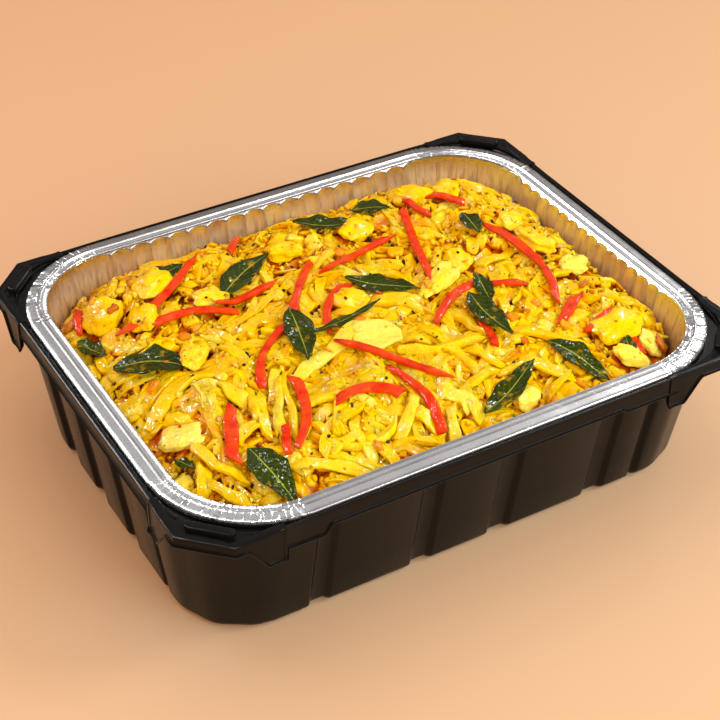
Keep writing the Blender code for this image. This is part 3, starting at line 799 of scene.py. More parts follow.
def wall_gap(x, y, z, corner):
    """Distance inwards from the foil's inner wall, and the outward direction, for points at z."""
    half_x, half_y, radius = wall_plan(FOIL_BOX[1].z - z, corner)
    over_x = np.abs(x) - (half_x - radius)
    over_y = np.abs(y) - (half_y - radius)
    round_corner = (over_x > 0) & (over_y > 0)
    far = np.hypot(np.maximum(over_x, 1e-9), np.maximum(over_y, 1e-9))
    gap = np.where(round_corner, radius - far, radius - np.maximum(over_x, over_y))
    along_x = over_x > over_y
    out_x = np.where(round_corner, over_x / far, np.where(along_x, 1.0, 0.0)) * np.sign(x)
    out_y = np.where(round_corner, over_y / far, np.where(along_x, 0.0, 1.0)) * np.sign(y)
    return gap, out_x, out_y


HOLLOW_DEPTH = 0.0050
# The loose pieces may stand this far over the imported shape, and over its hollows
HEADROOM = 0.0030
HOLLOW_HEADROOM = 0.0024
# Points nearer than this to the top of the whole tray are pressed down softly
TOP_CLEARANCE = 0.0022


class Heap:
    """Height field that pieces are dropped onto, under a ceiling that the toppings set."""

    margin = 0.0023
    coarse = 4

    def __init__(self, corner):
        self.corner = corner
        self.xs = np.arange(-FIELD_X, FIELD_X + CELL, CELL)
        self.ys = np.arange(-FIELD_Y, FIELD_Y + CELL, CELL)
        self.target = refined(self.cast("cabbage_heap", self.coarse), self.coarse, self.xs, self.ys)
        grid_x, grid_y = np.meshgrid(self.xs, self.ys, indexing="ij")
        self.inside = wall_gap(grid_x, grid_y, self.target, corner)[0] > self.margin + 2 * CELL
        self.hollow = self.hollows()
        self.top = self.target.copy()
        self.ceiling = self.target + HEADROOM
        self.spots = np.argwhere(self.inside)

    def hollows(self):
        """Depth of the hollows between the upper shreds, over the grid."""
        out = np.zeros((len(self.xs), len(self.ys)))
        step = self.coarse
        for i in range(0, len(self.xs), step):
            for j in range(0, len(self.ys), step):
                place = Vector((self.xs[i], self.ys[j], 0.0))
                fine = noise.noise(place * 130.0 + Vector((4.0, 9.0, 2.0)))
                level = noise.noise(place * 62.0) + 0.5 * fine
                out[i : i + step, j : j + step] = HOLLOW_DEPTH * smoothstep(0.08, 0.55, level)
        return out

    def cast(self, node, step=1, up=False):
        """Height of a node over the grid, from above, or of its underside with up=True."""
        tree = node_tree(node)
        xs = self.xs[::step]
        ys = self.ys[::step]
        low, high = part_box(node)
        out = np.full((len(xs), len(ys)), np.nan)
        way = Vector((0.0, 0.0, 1.0 if up else -1.0))
        start = 0.0 if up else 2 * high.z
        for i in np.flatnonzero((xs >= low.x) & (xs <= high.x)):
            for j in np.flatnonzero((ys >= low.y) & (ys <= high.y)):
                hit = tree.ray_cast(Vector((xs[i], ys[j], start)), way)[0]
                if hit is not None:
                    out[i, j] = hit.z
        return out

    def cells(self, x, y):
        """Grid indices of places."""
        i = np.clip(np.rint((x + FIELD_X) / CELL).astype(int), 0, len(self.xs) - 1)
        j = np.clip(np.rint((y + FIELD_Y) / CELL).astype(int), 0, len(self.ys) - 1)
        return i, j

    def raise_to(self, x, y, z):
        """Raises the heap's top to a height where it is lower."""
        np.maximum.at(self.top, self.cells(x, y), z)

    def keep_in(self, points):
        """Pushes points that reach through the foil's wall or over the tray back inside."""
        gap, out_x, out_y = wall_gap(points[:, 0], points[:, 1], points[:, 2], self.corner)
        over = np.maximum(self.margin - gap, 0.0)
        points[:, 0] -= out_x * over
        points[:, 1] -= out_y * over
        above = np.maximum(points[:, 2] - (CAD_BOX[1].z - TOP_CLEARANCE), 0.0)
        points[:, 2] -= above - 0.0020 * np.tanh(above / 0.0030)
        return points


def fill_gaps(values):
    """Copies the nearest known heights outwards into the empty cells."""
    filled = values.copy()
    while np.isnan(filled).any():
        known = ~np.isnan(filled)
        total = np.zeros_like(filled)
        weight = np.zeros_like(filled)
        for shift in ((1, 0), (-1, 0), (0, 1), (0, -1)):
            moved = np.roll(np.where(known, filled, 0.0), shift, (0, 1))
            there = np.roll(known, shift, (0, 1))
            total += moved * there
            weight += there
        filled = np.where(known, filled, np.where(weight > 0, total / np.maximum(weight, 1), np.nan))
    return filled


def refined(values, step, xs, ys):
    """Heights on a coarse grid, filled out and blended onto one that is step times finer."""
    filled = fill_gaps(values)
    fine_i = np.clip(np.arange(len(xs)) / step, 0, filled.shape[0] - 1.001)
    fine_j = np.clip(np.arange(len(ys)) / step, 0, filled.shape[1] - 1.001)
    i0 = fine_i.astype(int)
    j0 = fine_j.astype(int)
    ti = (fine_i - i0)[:, None]
    tj = (fine_j - j0)[None, :]
    upper = filled[np.ix_(i0, j0)] * (1 - tj) + filled[np.ix_(i0, j0 + 1)] * tj
    lower = filled[np.ix_(i0 + 1, j0)] * (1 - tj) + filled[np.ix_(i0 + 1, j0 + 1)] * tj
    return upper * (1 - ti) + lower * ti


# -------- templates of loose pieces


class Template:
    """A unit piece made with mesh operators, kept as a mesh whose copies are bent into place."""

    def __init__(self, bm, name):
        self.mesh = mesh_from(bm, name)
        flat = np.empty(len(self.mesh.vertices) * 3)
        self.mesh.vertices.foreach_get("co", flat)
        self.points = flat.reshape(-1, 3)


def paint_grain(bm):
    """Grain map along and across a flat or unit piece, before it is bent."""
    layer = bm.loops.layers.uv.new("grain")
    for face in bm.faces:
        for loop in face.loops:
            co = loop.vert.co
            loop[layer].uv = (co.x * 0.5 + 0.5, co.y * 0.5 + 0.5 + (1.0 if co.z < -0.2 else 0.0))


def finish_template(bm, name):
    """Paints a unit piece's grain and turns its faces outwards."""
    paint_grain(bm)
    bmesh.ops.recalc_face_normals(bm, faces=bm.faces)
    return Template(bm, name)


def random_place(rng, reach=50):
    """A random place to read noise at, so that each template has a shape of its own."""
    return Vector((rng.uniform(0, reach), rng.uniform(0, reach), rng.uniform(0, reach)))


def strand_template(rng, name, rings=11, around=12, flat=0.36, taper=(0.78, 1.05)):
    """Unit shred along X, -1 to 1: a flattened ribbon with ridges, kinks and slanted cut ends."""
    bm = bmesh.new()
    turned = Matrix.Rotation(math.pi / 2, 4, "Y")
    bmesh.ops.create_cone(
        bm, cap_ends=True, segments=around, radius1=1.0, radius2=1.0, depth=2.0, matrix=turned
    )
    long_edges = [e for e in bm.edges if abs(e.verts[0].co.x - e.verts[1].co.x) > 1.0]
    bmesh.ops.subdivide_edges(bm, edges=long_edges, cuts=rings)
    seed = random_place(rng, 90)
    ends = (rng.uniform(*taper), rng.uniform(*taper))
    slant = (rng.uniform(-0.22, 0.22), rng.uniform(-0.22, 0.22))
    swell = rng.uniform(-0.22, 0.22)
    ridges = [rng.uniform(-0.30, 0.30) for _ in range(around)]
    wedge = rng.uniform(-0.35, 0.35)
    groove = rng.uniform(0.0, 0.55)
    for vert in bm.verts:
        u = vert.co.x
        angle = math.atan2(vert.co.z, vert.co.y)
        y = math.copysign(abs(math.cos(angle)) ** flat, math.cos(angle))
        z = math.copysign(abs(math.sin(angle)) ** 0.6, math.sin(angle))
        end = ends[1] if u > 0 else ends[0]
        near = smoothstep(0.84, 1.0, abs(u))
        width = 1.0 + 0.26 * noise.noise(Vector((u * 1.7, 0.0, 0.0)) + seed) + swell * u
        width += 0.16 * noise.noise(Vector((u * 6.5, 3.0 if y > 0 else 9.0, 0.0)) + seed)
        width *= 1.0 - (1.0 - end) * near
        ridge = 1.0 + ridges[round((angle + math.pi) / (2 * math.pi) * around) % around]
        thick = (1.0 + 0.35 * noise.noise(Vector((u * 2.3, 7.0, 0.0)) + seed)) * (1.0 - 0.25 * near) * ridge
        thick *= (1.0 + wedge * y) * (1.0 - groove * math.exp(-9.0 * y * y))
        side = 0.24 * noise.noise(Vector((u * 1.9, 17.0, 0.0)) + seed)
        lift = 0.45 * noise.noise(Vector((u * 2.1, 27.0, y * 0.8)) + seed)
        vert.co = (u + y * (slant[1] if u > 0 else slant[0]) * near, y * width + side, z * thick + lift)
    caps = [face for face in bm.faces if len(face.verts) > 4]
    bmesh.ops.triangulate(bm, faces=caps)
    return finish_template(bm, name)


def slice_template(rng, name, cells_x=7, cells_y=6, crumple=0.38):
    """Unit slice of cabbage: a broad crumpled plate with uneven, rounded rims."""
    bm = bmesh.new()
    bmesh.ops.create_grid(bm, x_segments=cells_x, y_segments=cells_y, size=1.0)
    seed = random_place(rng)
    squeeze = rng.uniform(-0.35, 0.35)
    curl = rng.uniform(-0.6, 0.9)
    for vert in bm.verts:
        x, y = vert.co.x, vert.co.y
        reach = 1.0 - 0.22 * (x * x * y * y) - 0.10 * x * x - 0.08 * y * y
        wave = 1.0 + 0.32 * noise.noise(Vector((x, y, 0.0)) * 1.3 + seed)
        bend = curl * y * y + crumple * noise.noise(Vector((x * 1.1, y * 2.1, 3.0)) + seed)
        vert.co = (x * reach * wave, y * reach * wave * (1.0 + squeeze * x), bend)
    grown = bmesh.ops.extrude_face_region(bm, geom=bm.faces[:], use_keep_orig=True)["geom"]
    top = [part for part in grown if isinstance(part, bmesh.types.BMVert)]
    bmesh.ops.translate(bm, vec=(0.0, 0.0, 1.1), verts=top)
    for _ in range(3):
        bmesh.ops.smooth_vert(
            bm, verts=bm.verts, factor=0.5, use_axis_x=True, use_axis_y=True, use_axis_z=True
        )
    middle = sum((vert.co for vert in bm.verts), Vector()) / len(bm.verts)
    bmesh.ops.translate(bm, vec=(0.0, 0.0, -middle.z), verts=bm.verts)
    return finish_template(bm, name)


def lump_template(rng, name, cuts=4, rough=0.42, fine=0.10):
    """Unit soft lump: a rounded block with a few bulges."""
    bm = bmesh.new()
    bmesh.ops.create_cube(bm, size=2.0)
    bmesh.ops.subdivide_edges(bm, edges=bm.edges[:], cuts=cuts, use_grid_fill=True)
    seed = random_place(rng)
    for vert in bm.verts:
        ball = vert.co.normalized()
        place = ball.lerp(vert.co, 0.22 if fine else 0.08)
        bulge = 1.0 + rough * (noise.noise(ball * 1.4 + seed) + 0.38 * noise.noise(ball * 2.7 + seed))
        bulge += fine * noise.noise(ball * 5.2 + seed)
        vert.co = place * bulge
    return finish_template(bm, name)


def grain_template(name, subdivisions, stretch=(1.0, 1.0, 1.0)):
    """Unit grain: a small rounded body."""
    bm = bmesh.new()
    bmesh.ops.create_icosphere(bm, subdivisions=subdivisions, radius=1.0)
    bmesh.ops.scale(bm, vec=stretch, verts=bm.verts)
    return finish_template(bm, name)


def flake_template(rng, name):
    """Unit flake: a thin crumpled chip."""
    bm = bmesh.new()
    bmesh.ops.create_circle(bm, cap_ends=True, segments=6, radius=1.0)
    for vert in bm.verts:
        vert.co *= rng.uniform(0.55, 1.1)
        vert.co.z = rng.uniform(-0.25, 0.25)
    grown = bmesh.ops.extrude_face_region(bm, geom=bm.faces[:])["geom"]
    top = [part for part in grown if isinstance(part, bmesh.types.BMVert)]
    bmesh.ops.translate(bm, vec=(0.0, 0.0, 0.28), verts=top)
    bmesh.ops.triangulate(bm, faces=bm.faces)
    return finish_template(bm, name)


# Painted shade: how much the tone drops in the recesses, and over which depths under the local level
RECESS_SHADE_SHIFT = 0.86
RECESS_SHADE_SPAN = (-0.0010, 0.0034)


class Gathering:
    """Many bent copies of templates, joined into one mesh."""

    def __init__(self, name):
        self.name = name
        self.bm = bmesh.new()
        self.tones = []

    def add(self, template, points, tone, grain_scale, rng):
        """Joins a copy of a template, bent to the given points, with a tone and a grain of its own."""
        bent = template.mesh.copy()
        bent.vertices.foreach_set("co", points.ravel())
        layer = bent.uv_layers["grain"].data
        uv = np.empty(len(layer) * 2)
        layer.foreach_get("uv", uv)
        uv = uv.reshape(-1, 2) * grain_scale
        uv += (rng.uniform(0, 5), rng.uniform(0, 5))
        layer.foreach_set("uv", uv.ravel())
        self.bm.from_mesh(bent)
        bpy.data.meshes.remove(bent)
        self.tones += [tone] * len(points)

    def finish(self, material, slot_name, replaces=(), sharp_degrees=None, heap=None):
        """Makes the piece; with a heap, the tone deepens as painted shade where a surface lies in a recess.
        """
        mesh = mesh_from(self.bm, self.name)
        tones = np.array(self.tones, dtype=np.float32)
        if heap is not None:
            flat = np.empty(len(mesh.vertices) * 3, dtype=np.float32)
            mesh.vertices.foreach_get("co", flat)
            points = flat.reshape(-1, 3)
            i, j = heap.cells(points[:, 0], points[:, 1])
            below = heap.level[i, j] - points[:, 2]
            # painted shade: the tone falls towards the deep colour under the local level
            tones -= RECESS_SHADE_SHIFT * ramp(below, *RECESS_SHADE_SPAN)
        attribute = mesh.attributes.new("tone", "FLOAT", "POINT")
        attribute.data.foreach_set("value", tones)
        return finish_piece(self.name, mesh, material, replaces, sharp_degrees)


# -------- laying pieces on the heap

STRAND_STEP = 0.0016
# Length over which a shred evens out what it lies on
STIFFNESS = 0.0075
# How far a piece may be pressed down to fit under the ceiling
ALLOWANCE = 0.0022


def plan_path(x, y, heading, along, bend, steps, wiggle=0.0, phase=0.0):
    """Points and directions along an arc in plan, from its middle, chord heading and bend."""
    s = np.linspace(-0.5, 0.5, steps)
    turn = heading + bend * s + wiggle * np.sin(s * 9.0 + phase)
    dx = np.cos(turn) * along / (steps - 1)
    dy = np.sin(turn) * along / (steps - 1)
    px = np.concatenate(([0.0], np.cumsum((dx[1:] + dx[:-1]) / 2)))
    py = np.concatenate(([0.0], np.cumsum((dy[1:] + dy[:-1]) / 2)))
    px += x - (px[0] + px[-1]) / 2
    py += y - (py[0] + py[-1]) / 2
    return px, py, turn


def bend_strip(template, path, level, roll, reach, half, thick, settle=1.0, dish=0.0, lift=1.0):
    """Points of a unit strip bent along a path, on a level or with settle=-1 hung under it."""
    px, py, turn = path
    u = (template.points[:, 0] + 1.0) / 2
    v = template.points[:, 1] * half
    w = template.points[:, 2] * thick / 2 - dish * template.points[:, 1] ** 2
    line = np.linspace(0.0, 1.0, len(px))
    px, py, turn, level, roll = (np.interp(u, line, values) for values in (px, py, turn, level, roll))
    end = (np.clip(u, 0.0, 1.0) - u) * reach
    across = v * np.cos(roll) - w * np.sin(roll)
    rise = v * np.sin(roll) * lift + w * np.cos(roll)
    return np.stack(
        (
            px - np.sin(turn) * across - np.cos(turn) * end,
            py + np.cos(turn) * across - np.sin(turn) * end,
            level + settle * thick / 2 + rise,
        ),
        axis=1,
    )


def smooth_line(values, reach):
    """Moving average along a line, with its ends held."""
    if reach < 1:
        return values
    padded = np.concatenate((np.full(reach, values[0]), values, np.full(reach, values[-1])))
    kernel = np.hanning(2 * reach + 3)[1:-1]
    return np.convolve(padded, kernel / kernel.sum(), mode="valid")


def lay_strand(
    heap, template, x, y, heading, along, width, thick, bend, rng, plunge=0.0012, allow=ALLOWANCE
):
    """Bends a unit shred over the heap. Returns its points, or None where it has no room."""
    steps = max(8, int(along / STRAND_STEP))
    wiggle, phase = rng.uniform(0.0, 0.25), rng.uniform(0, 6.3)
    px, py, turn = plan_path(x, y, heading, along, bend, steps, wiggle, phase)
    side_x, side_y = -np.sin(turn), np.cos(turn)
    half = width / 2
    heights = []
    caps = []
    for offset in (-0.75, -0.35, 0.0, 0.35, 0.75):
        i, j = heap.cells(px + side_x * half * offset, py + side_y * half * offset)
        if not heap.inside[i, j].mean() > 0.8:
            return None
        heights.append(heap.top[i, j])
        caps.append(heap.ceiling[i, j])
    heights = np.array(heights)
    support = np.maximum(heights[1:4].max(0), (heights.max(0) + heights.mean(0)) / 2)
    reach = max(1, int(STIFFNESS / (along / steps)))
    base = smooth_line(support, reach)
    base = base * 0.55 + np.maximum(base, smooth_line(support, max(1, reach // 2))) * 0.45
    s = np.linspace(-1.0, 1.0, steps)
    base = base - plunge * ramp(np.abs(s), 0.55, 1.0) - thick * 0.22
    highest = np.array(caps).min(0) - thick
    room = highest - base
    if room.min() < -allow or np.mean(room) < -allow * 0.6:
        return None
    base = base + smooth_line(np.minimum(room, 0.0), 1)
    base = np.minimum(base, highest)
    slope = (heights[3:].mean(0) - heights[:2].mean(0)) / width
    roll = np.arctan(np.clip(smooth_line(slope, reach), -0.9, 0.9)) * 0.75
    roll = roll + rng.uniform(-0.3, 0.3) + rng.uniform(-0.6, 0.6) * s
    points = bend_strip(template, (px, py, turn), base, roll, along, half, thick)
    for offset in np.linspace(-0.92, 0.92, 9):
        crown = thick * (0.5 + 0.5 * math.sqrt(1.0 - offset * offset))
        tilt = half * offset * np.sin(roll)
        heap.raise_to(px + side_x * half * offset, py + side_y * half * offset, base + crown + tilt)
    return heap.keep_in(points)


def lay_block(heap, template, x, y, heading, sizes, tilt, sink, over=False):
    """Settles a unit block or plate on the heap. Returns its points, or None where it has no room."""
    half_x, half_y, half_z = (size / 2 for size in sizes)
    grid = np.linspace(-0.85, 0.85, 9)
    gx, gy = np.meshgrid(grid, grid)
    gx, gy = gx.ravel(), gy.ravel()
    cos_h, sin_h = math.cos(heading), math.sin(heading)
    wx = x + gx * half_x * cos_h - gy * half_y * sin_h
    wy = y + gx * half_x * sin_h + gy * half_y * cos_h
    i, j = heap.cells(wx, wy)
    if heap.inside[i, j].mean() < 0.75:
        return None
    under = heap.top[i, j]
    fit = np.linalg.lstsq(np.stack((gx * half_x, gy * half_y, np.ones_like(gx)), 1), under, rcond=None)[0]
    slope_x = float(np.clip(fit[0], -0.7, 0.7)) * 0.8 + tilt[0]
    slope_y = float(np.clip(fit[1], -0.7, 0.7)) * 0.8 + tilt[1]
    plane = slope_x * gx * half_x + slope_y * gy * half_y
    base = float(np.quantile(under - plane, 0.70)) - sink
    if not over:
        room = float(np.quantile(heap.ceiling[i, j] - plane, 0.03)) - 2 * half_z - base
        if room < -ALLOWANCE:
            return None
        base += min(room, 0.0)
    p = template.points
    lx, ly, lz = p[:, 0] * half_x, p[:, 1] * half_y, p[:, 2] * half_z
    points = np.stack(
        (
            x + lx * cos_h - ly * sin_h,
            y + lx * sin_h + ly * cos_h,
            base + half_z + lz + slope_x * lx + slope_y * ly,
        ),
        axis=1,
    )
    points = heap.keep_in(points)
    dome = 0.35 + 0.65 * np.sqrt(np.clip(1.0 - (gx * gx + gy * gy) * 0.62, 0.0, 1.0))
    top = base + plane + half_z * (1.0 + dome)
    for dx in (-0.5, 0.5):
        for dy in (-0.5, 0.5):
            heap.raise_to(wx + dx * CELL, wy + dy * CELL, top)
    return points


# -------- cabbage

# Gap under the pepper strips and the curry leaves
TOPPING_GAP = 0.0002
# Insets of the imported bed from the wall's top: of its ends, its sides and its corners' radius
BED_INSETS = (0.0052, 0.0060, 0.0040)
BED_LUMPS = 0.0011
# Lower rings of the bed: height over the table, share of the ring above
BED_RINGS = ((0.030, 0.96), (0.0135, 0.93))
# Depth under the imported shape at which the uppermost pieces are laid
CROWN_DROP = 0.0010
# Height that a loose piece takes up, and the least room over the heap that is worth trying
USUAL_HEIGHT = 0.0022
LEAST_ROOM = -0.0005
NEIGHBOUR_SHARE = 0.55
# The filled heap, which the cabbage's operator leaves for the bits that are scattered over it
FILLED = {}
# Kinds of loose piece: name, length, width and thickness in millimetres, grain scale, share of the
# tone, angle over which an edge is sharp
KINDS = {
    "strands": ("cabbage_long_shreds", (18, 44), (3.8, 7.4), (2.2, 3.6), 3.0, 0.80, 56.0),
    "threads": ("cabbage_thin_shreds", (9, 26), (2.0, 3.6), (1.5, 2.4), 2.0, 0.74, 56.0),
    "slices": ("cabbage_slices", (11, 22), (7, 12), (4.0, 6.5), 1.4, 0.78, None),
    "lumps": ("cabbage_lumps", (9, 19), (7, 13), (5.0, 9.0), 0.5, 0.76, None),
    "crumbs": ("cabbage_crumbs", (2.8, 6.0), (2.4, 4.6), (1.8, 3.8), 0.6, 0.64, None),
}
# Rows, in millimetres and degrees: x and y of the middle, heading, length, width, bend, tone
LONG_SHREDS = (
    (-109, -17, -161, 45, 7.7, 55, 0.62),
    (-114, -65, -70, 33, 5.0, 43, 0.66),
    (-117, -79, -60, 25, 4.6, 49, 0.60),
    (-124, -70, -115, 14, 7.1, 0, 0.55),
    (-71, -93, -26, 39, 6.4, -13, 0.72),
    (-68, -32, -120, 24, 4.6, 0, 0.70),
    (-69, -50, -110, 50, 3.9, 7, 0.66),
    (-73, -47, -119, 41, 4.0, 10, 0.74),
    (-65, -56, -113, 36, 3.0, -13, 0.62),
    (-82, -50, -113, 32, 4.5, 26, 0.68),
    (-79, -60, -105, 22, 4.4, 16, 0.76),
    (-84, -42, -108, 26, 4.2, 5, 0.66),
    (-88, -29, -79, 21, 6.8, 33, 0.72),
    (-57, -55, -10, 20, 6.8, -20, 0.64),
    (-50, -78, -11, 42, 6.0, 120, 0.74),
    (-49, -85, -94, 26, 4.8, 51, 0.76),
    (-59, -84, -164, 20, 4.4, -1, 0.66),
    (-45, -92, -69, 20, 5.1, 9, 0.60),
    (-60, -93, -36, 22, 4.0, 6, 0.66),
    (-26, -80, -136, 31, 5.8, -58, 0.74),
    (-17, -89, -66, 16, 7.3, -14, 0.64),
    (-27, -95, -16, 26, 4.2, -7, 0.58),
    (-6, -93, -116, 20, 4.6, 22, 0.82),
    (0, -83, -55, 20, 7.4, -70, 0.80),
    (9, -85, -100, 24, 5.0, 27, 0.72),
    (-30, -25, 21, 56, 8.4, -24, 0.80),
    (16, -5, -41, 27, 10.0, -40, 0.72),
    (20, -46, -12, 45, 6.0, 40, 0.70),
    (29, -64, -69, 21, 4.4, 33, 0.62),
    (20, -76, -170, 20, 4.5, -4, 0.64),
    (38, -37, -78, 26, 6.2, -10, 0.68),
    (-95, -74, -20, 23, 4.4, -35, 0.60),
    (-95, -59, 18, 18, 5.2, -54, 0.66),
    (-70, -76, -102, 24, 4.6, -84, 0.58),
    (-55, 13, 24, 24, 7.4, -3, 0.66),
    (-64, -5, -28, 23, 5.7, -70, 0.60),
    (-13, -66, -86, 29, 3.8, 26, 0.42),
    (-10, 21, 70, 27, 5.3, -57, 0.60),
    (53, -83, -48, 28, 6.9, 24, 0.66),
    (66, -66, -47, 39, 6.0, 4, 0.60),
    (17, -60, -75, 27, 5.6, -43, 0.72),
    (33, -88, 22, 21, 3.8, 13, 0.66),
    (54, -92, 24, 20, 3.8, 28, 0.60),
)
# Rows, in millimetres and degrees: x and y of the middle, heading, length, width, height, tone
BIG_SLICES = (
    (-8, -26, -1, 30, 25, 4.4, 0.98),
    (44, -1, 30, 32, 12, 5.5, 0.78),
    (116, -18, 18, 19, 12, 9.0, 0.90),
    (114, -86, -57, 12, 12, 9.0, 0.92),
    (96, -93, -20, 17, 10, 8.0, 0.86),
    (100, -76, 10, 28, 18, 10.0, 0.62),
    (-122, -42, -41, 20, 15, 8.0, 1.02),
    (-116, 59, -24, 19, 18, 13.0, 0.56),
    (108, 30, 26, 18, 13, 8.0, 0.72),
    (-84, 68, 30, 22, 18, 10.0, 0.66),
    (76, 78, -35, 22, 18, 11.0, 0.60),
    (-64, 42, 12, 19, 15, 8.0, 0.74),
    (-4, 7, -42, 19, 15, 7.5, 0.70),
    (34, -94, 13, 15, 10, 6.0, 0.86),
    (96, 74, 50, 20, 14, 9.0, 0.64),
    (110, 8, -60, 22, 15, 9.0, 0.66),
    (62, 10, 70, 18, 14, 8.0, 0.70),
    (30, 60, 10, 20, 14, 8.0, 0.62),
    (-100, 44, 60, 18, 14, 9.0, 0.60),
    (-12, 62, -20, 20, 14, 8.0, 0.66),
    (-92, 4, 40, 20, 13, 8.0, 0.64),
)


def long_shred_share(x, y):
    """Share of long shreds at a place: they lie thickest in the front of the middle."""
    away = math.hypot((x + 0.022) / 0.088, (y + 0.045) / 0.062)
    return 0.10 + 0.75 * (1.0 - smoothstep(0.55, 1.35, away))


def tone_at(rng, heap, x, y, base):
    """Tone of a piece: it differs at random, and deeper pieces get a stronger orange-yellow as painted
    shade.
    """
    i, j = heap.cells(np.array([x]), np.array([y]))
    depth = float(heap.target[i, j][0] - heap.top[i, j][0])
    return base + rng.gauss(0.0, 0.09) - 0.03 * max(0.0, depth * 1000.0 - 1.0)


def pick_spot(heap, rng):
    """Of a few random places, the one that lies deepest under the heap's outline."""
    best, depth = None, -1.0
    for _ in range(7):
        i, j = heap.spots[rng.randrange(len(heap.spots))]
        room = min(heap.ceiling[i, j] - USUAL_HEIGHT, heap.target[i, j]) - heap.top[i, j]
        if room > depth:
            best, depth = (i, j), room
    i, j = best
    return heap.xs[i] + rng.uniform(-0.5, 0.5) * CELL, heap.ys[j] + rng.uniform(-0.5, 0.5) * CELL, depth


def blurred(values, reach):
    """Mean of each cell's square neighbourhood, run twice for a soft edge."""
    kernel = np.ones(2 * reach + 1) / (2 * reach + 1)
    for _ in range(2):
        for axis in (0, 1):
            values = np.apply_along_axis(lambda line: np.convolve(line, kernel, mode="same"), axis, values)
    return values


def lowered(values, reach=1):
    """Lowest value of each cell's neighbourhood."""
    for _ in range(reach):
        spread = values.copy()
        for shift in ((1, 0), (-1, 0), (0, 1), (0, -1)):
            spread = np.minimum(spread, np.roll(values, shift, (0, 1)))
        values = spread
    return values


def set_ceiling(heap):
    """Keeps the loose cabbage just under the pepper strips and the curry leaves."""
    for node in sorted(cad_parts):
        if not node.startswith(("pepper_strip", "curry_leaf")):
            continue
        under = heap.cast(node, up=True)
        lowest = np.where(np.isnan(under), np.inf, under)
        heap.ceiling = np.minimum(heap.ceiling, lowered(lowest) - TOPPING_GAP)
        heap.hollow = np.where(np.isfinite(lowered(lowest, 4)), 0.0, heap.hollow)


def bed_mesh(heap, depth):
    """Packed bed under the loose pieces: one closed body, lumpy on top."""
    half_x = FOIL_BOX[1].x - WALL_START_INSET - BED_INSETS[0]
    half_y = FOIL_BOX[1].y - WALL_START_INSET - BED_INSETS[1]
    radius = heap.corner - WALL_START_INSET - BED_INSETS[2]
    bm = bmesh.new()
    bmesh.ops.create_grid(bm, x_segments=150, y_segments=120, size=1.0)
    for vert in bm.verts:
        ring = max(abs(vert.co.x), abs(vert.co.y))
        x = abs(vert.co.x) / max(ring, 1e-6) * half_x
        y = abs(vert.co.y) / max(ring, 1e-6) * half_y
        over_x, over_y = x - (half_x - radius), y - (half_y - radius)
        if over_x > 0 and over_y > 0:
            pull = radius / math.hypot(over_x, over_y)
            x, y = half_x - radius + over_x * pull, half_y - radius + over_y * pull
        x, y = math.copysign(x * ring, vert.co.x), math.copysign(y * ring, vert.co.y)
        i, j = heap.cells(np.array([x]), np.array([y]))
        place = Vector((x, y, 0.0))
        lumps = noise.noise(place * 170.0) + 0.7 * noise.noise(place * 330.0)
        vert.co = (x, y, float(heap.target[i, j][0]) - depth + BED_LUMPS * lumps)
    rim = [edge for edge in bm.edges if edge.is_boundary]
    for height, pull in BED_RINGS:
        grown = bmesh.ops.extrude_edge_only(bm, edges=rim)["geom"]
        rim = [part for part in grown if isinstance(part, bmesh.types.BMEdge)]
        for vert in {vert for edge in rim for vert in edge.verts}:
            vert.co = (vert.co.x * pull, vert.co.y * pull, height)
    bmesh.ops.edgeloop_fill(bm, edges=rim)
    bmesh.ops.recalc_face_normals(bm, faces=bm.faces)
    return mesh_from(bm, "cabbage_bed")


def any_heading(rng):
    return rng.uniform(-math.pi, math.pi)


def lay_best(heap, rng, chosen):
    """Lays the shreds and slices that lie on top, and returns the heap with them on it and the
    lowest level under each of them."""
    crown = copy.copy(heap)
    crown.top = heap.target - CROWN_DROP
    under = np.full_like(heap.top, np.inf)
    fine = [strand_template(rng, f"fine_{n}", 16, 12) for n in range(10)]
    broad = [slice_template(rng, f"broad_{n}", 14, 12, 0.35) for n in range(4)]

    def note(before, high):
        raised = crown.top > before + 1e-6
        np.copyto(under, np.minimum(under, crown.top - high), where=raised)

    for x, y, heading, along, across, high, tone in BIG_SLICES:
        plate = high < 4.5
        template = broad[rng.randrange(4)] if plate else lump_template(rng, "big", 10, 0.36, 0.0)
        before = crown.top.copy()
        sizes = (along * MM, across * MM, high * MM)
        tilt = (rng.uniform(-0.1, 0.1), rng.uniform(-0.1, 0.1))
        points = lay_block(
            crown, template, x * MM, y * MM, math.radians(heading), sizes, tilt, high * MM * 0.35, True
        )
        if points is not None:
            chosen.add(template, points, tone + 0.10, along * MM * 100 if plate else 0.25, rng)
            note(before, high * MM * 0.8)
    for x, y, heading, along, across, bend, tone in LONG_SHREDS:
        template = fine[rng.randrange(10)]
        thick = rng.uniform(0.0024, 0.0036)
        before = crown.top.copy()
        points = lay_strand(
            crown, template, x * MM, y * MM, math.radians(heading), along * MM, across * MM, thick,
            math.radians(bend), rng, plunge=0.0020, allow=0.02,
        )
        if points is not None:
            chosen.add(template, points, tone + 0.10, along * MM * 100, rng)
            note(before, thick)
    return crown, under


def beside(last, rng):
    """Place beside the last shred, nearly parallel to it, as shreds are cut from one leaf."""
    x, y, heading, bend, width = last
    x -= math.sin(heading) * width * 1.02
    y += math.cos(heading) * width * 1.02
    return x, y, heading + rng.gauss(0.0, 0.10), bend + rng.gauss(0.0, 0.15)


def choose_kind(x, y, rng):
    """Kind of the next loose piece at a place."""
    if rng.random() < long_shred_share(x, y):
        return "strands" if rng.random() < 0.78 else "threads"
    return rng.choices(("slices", "lumps", "crumbs", "threads"), (0.26, 0.54, 0.10, 0.10))[0]


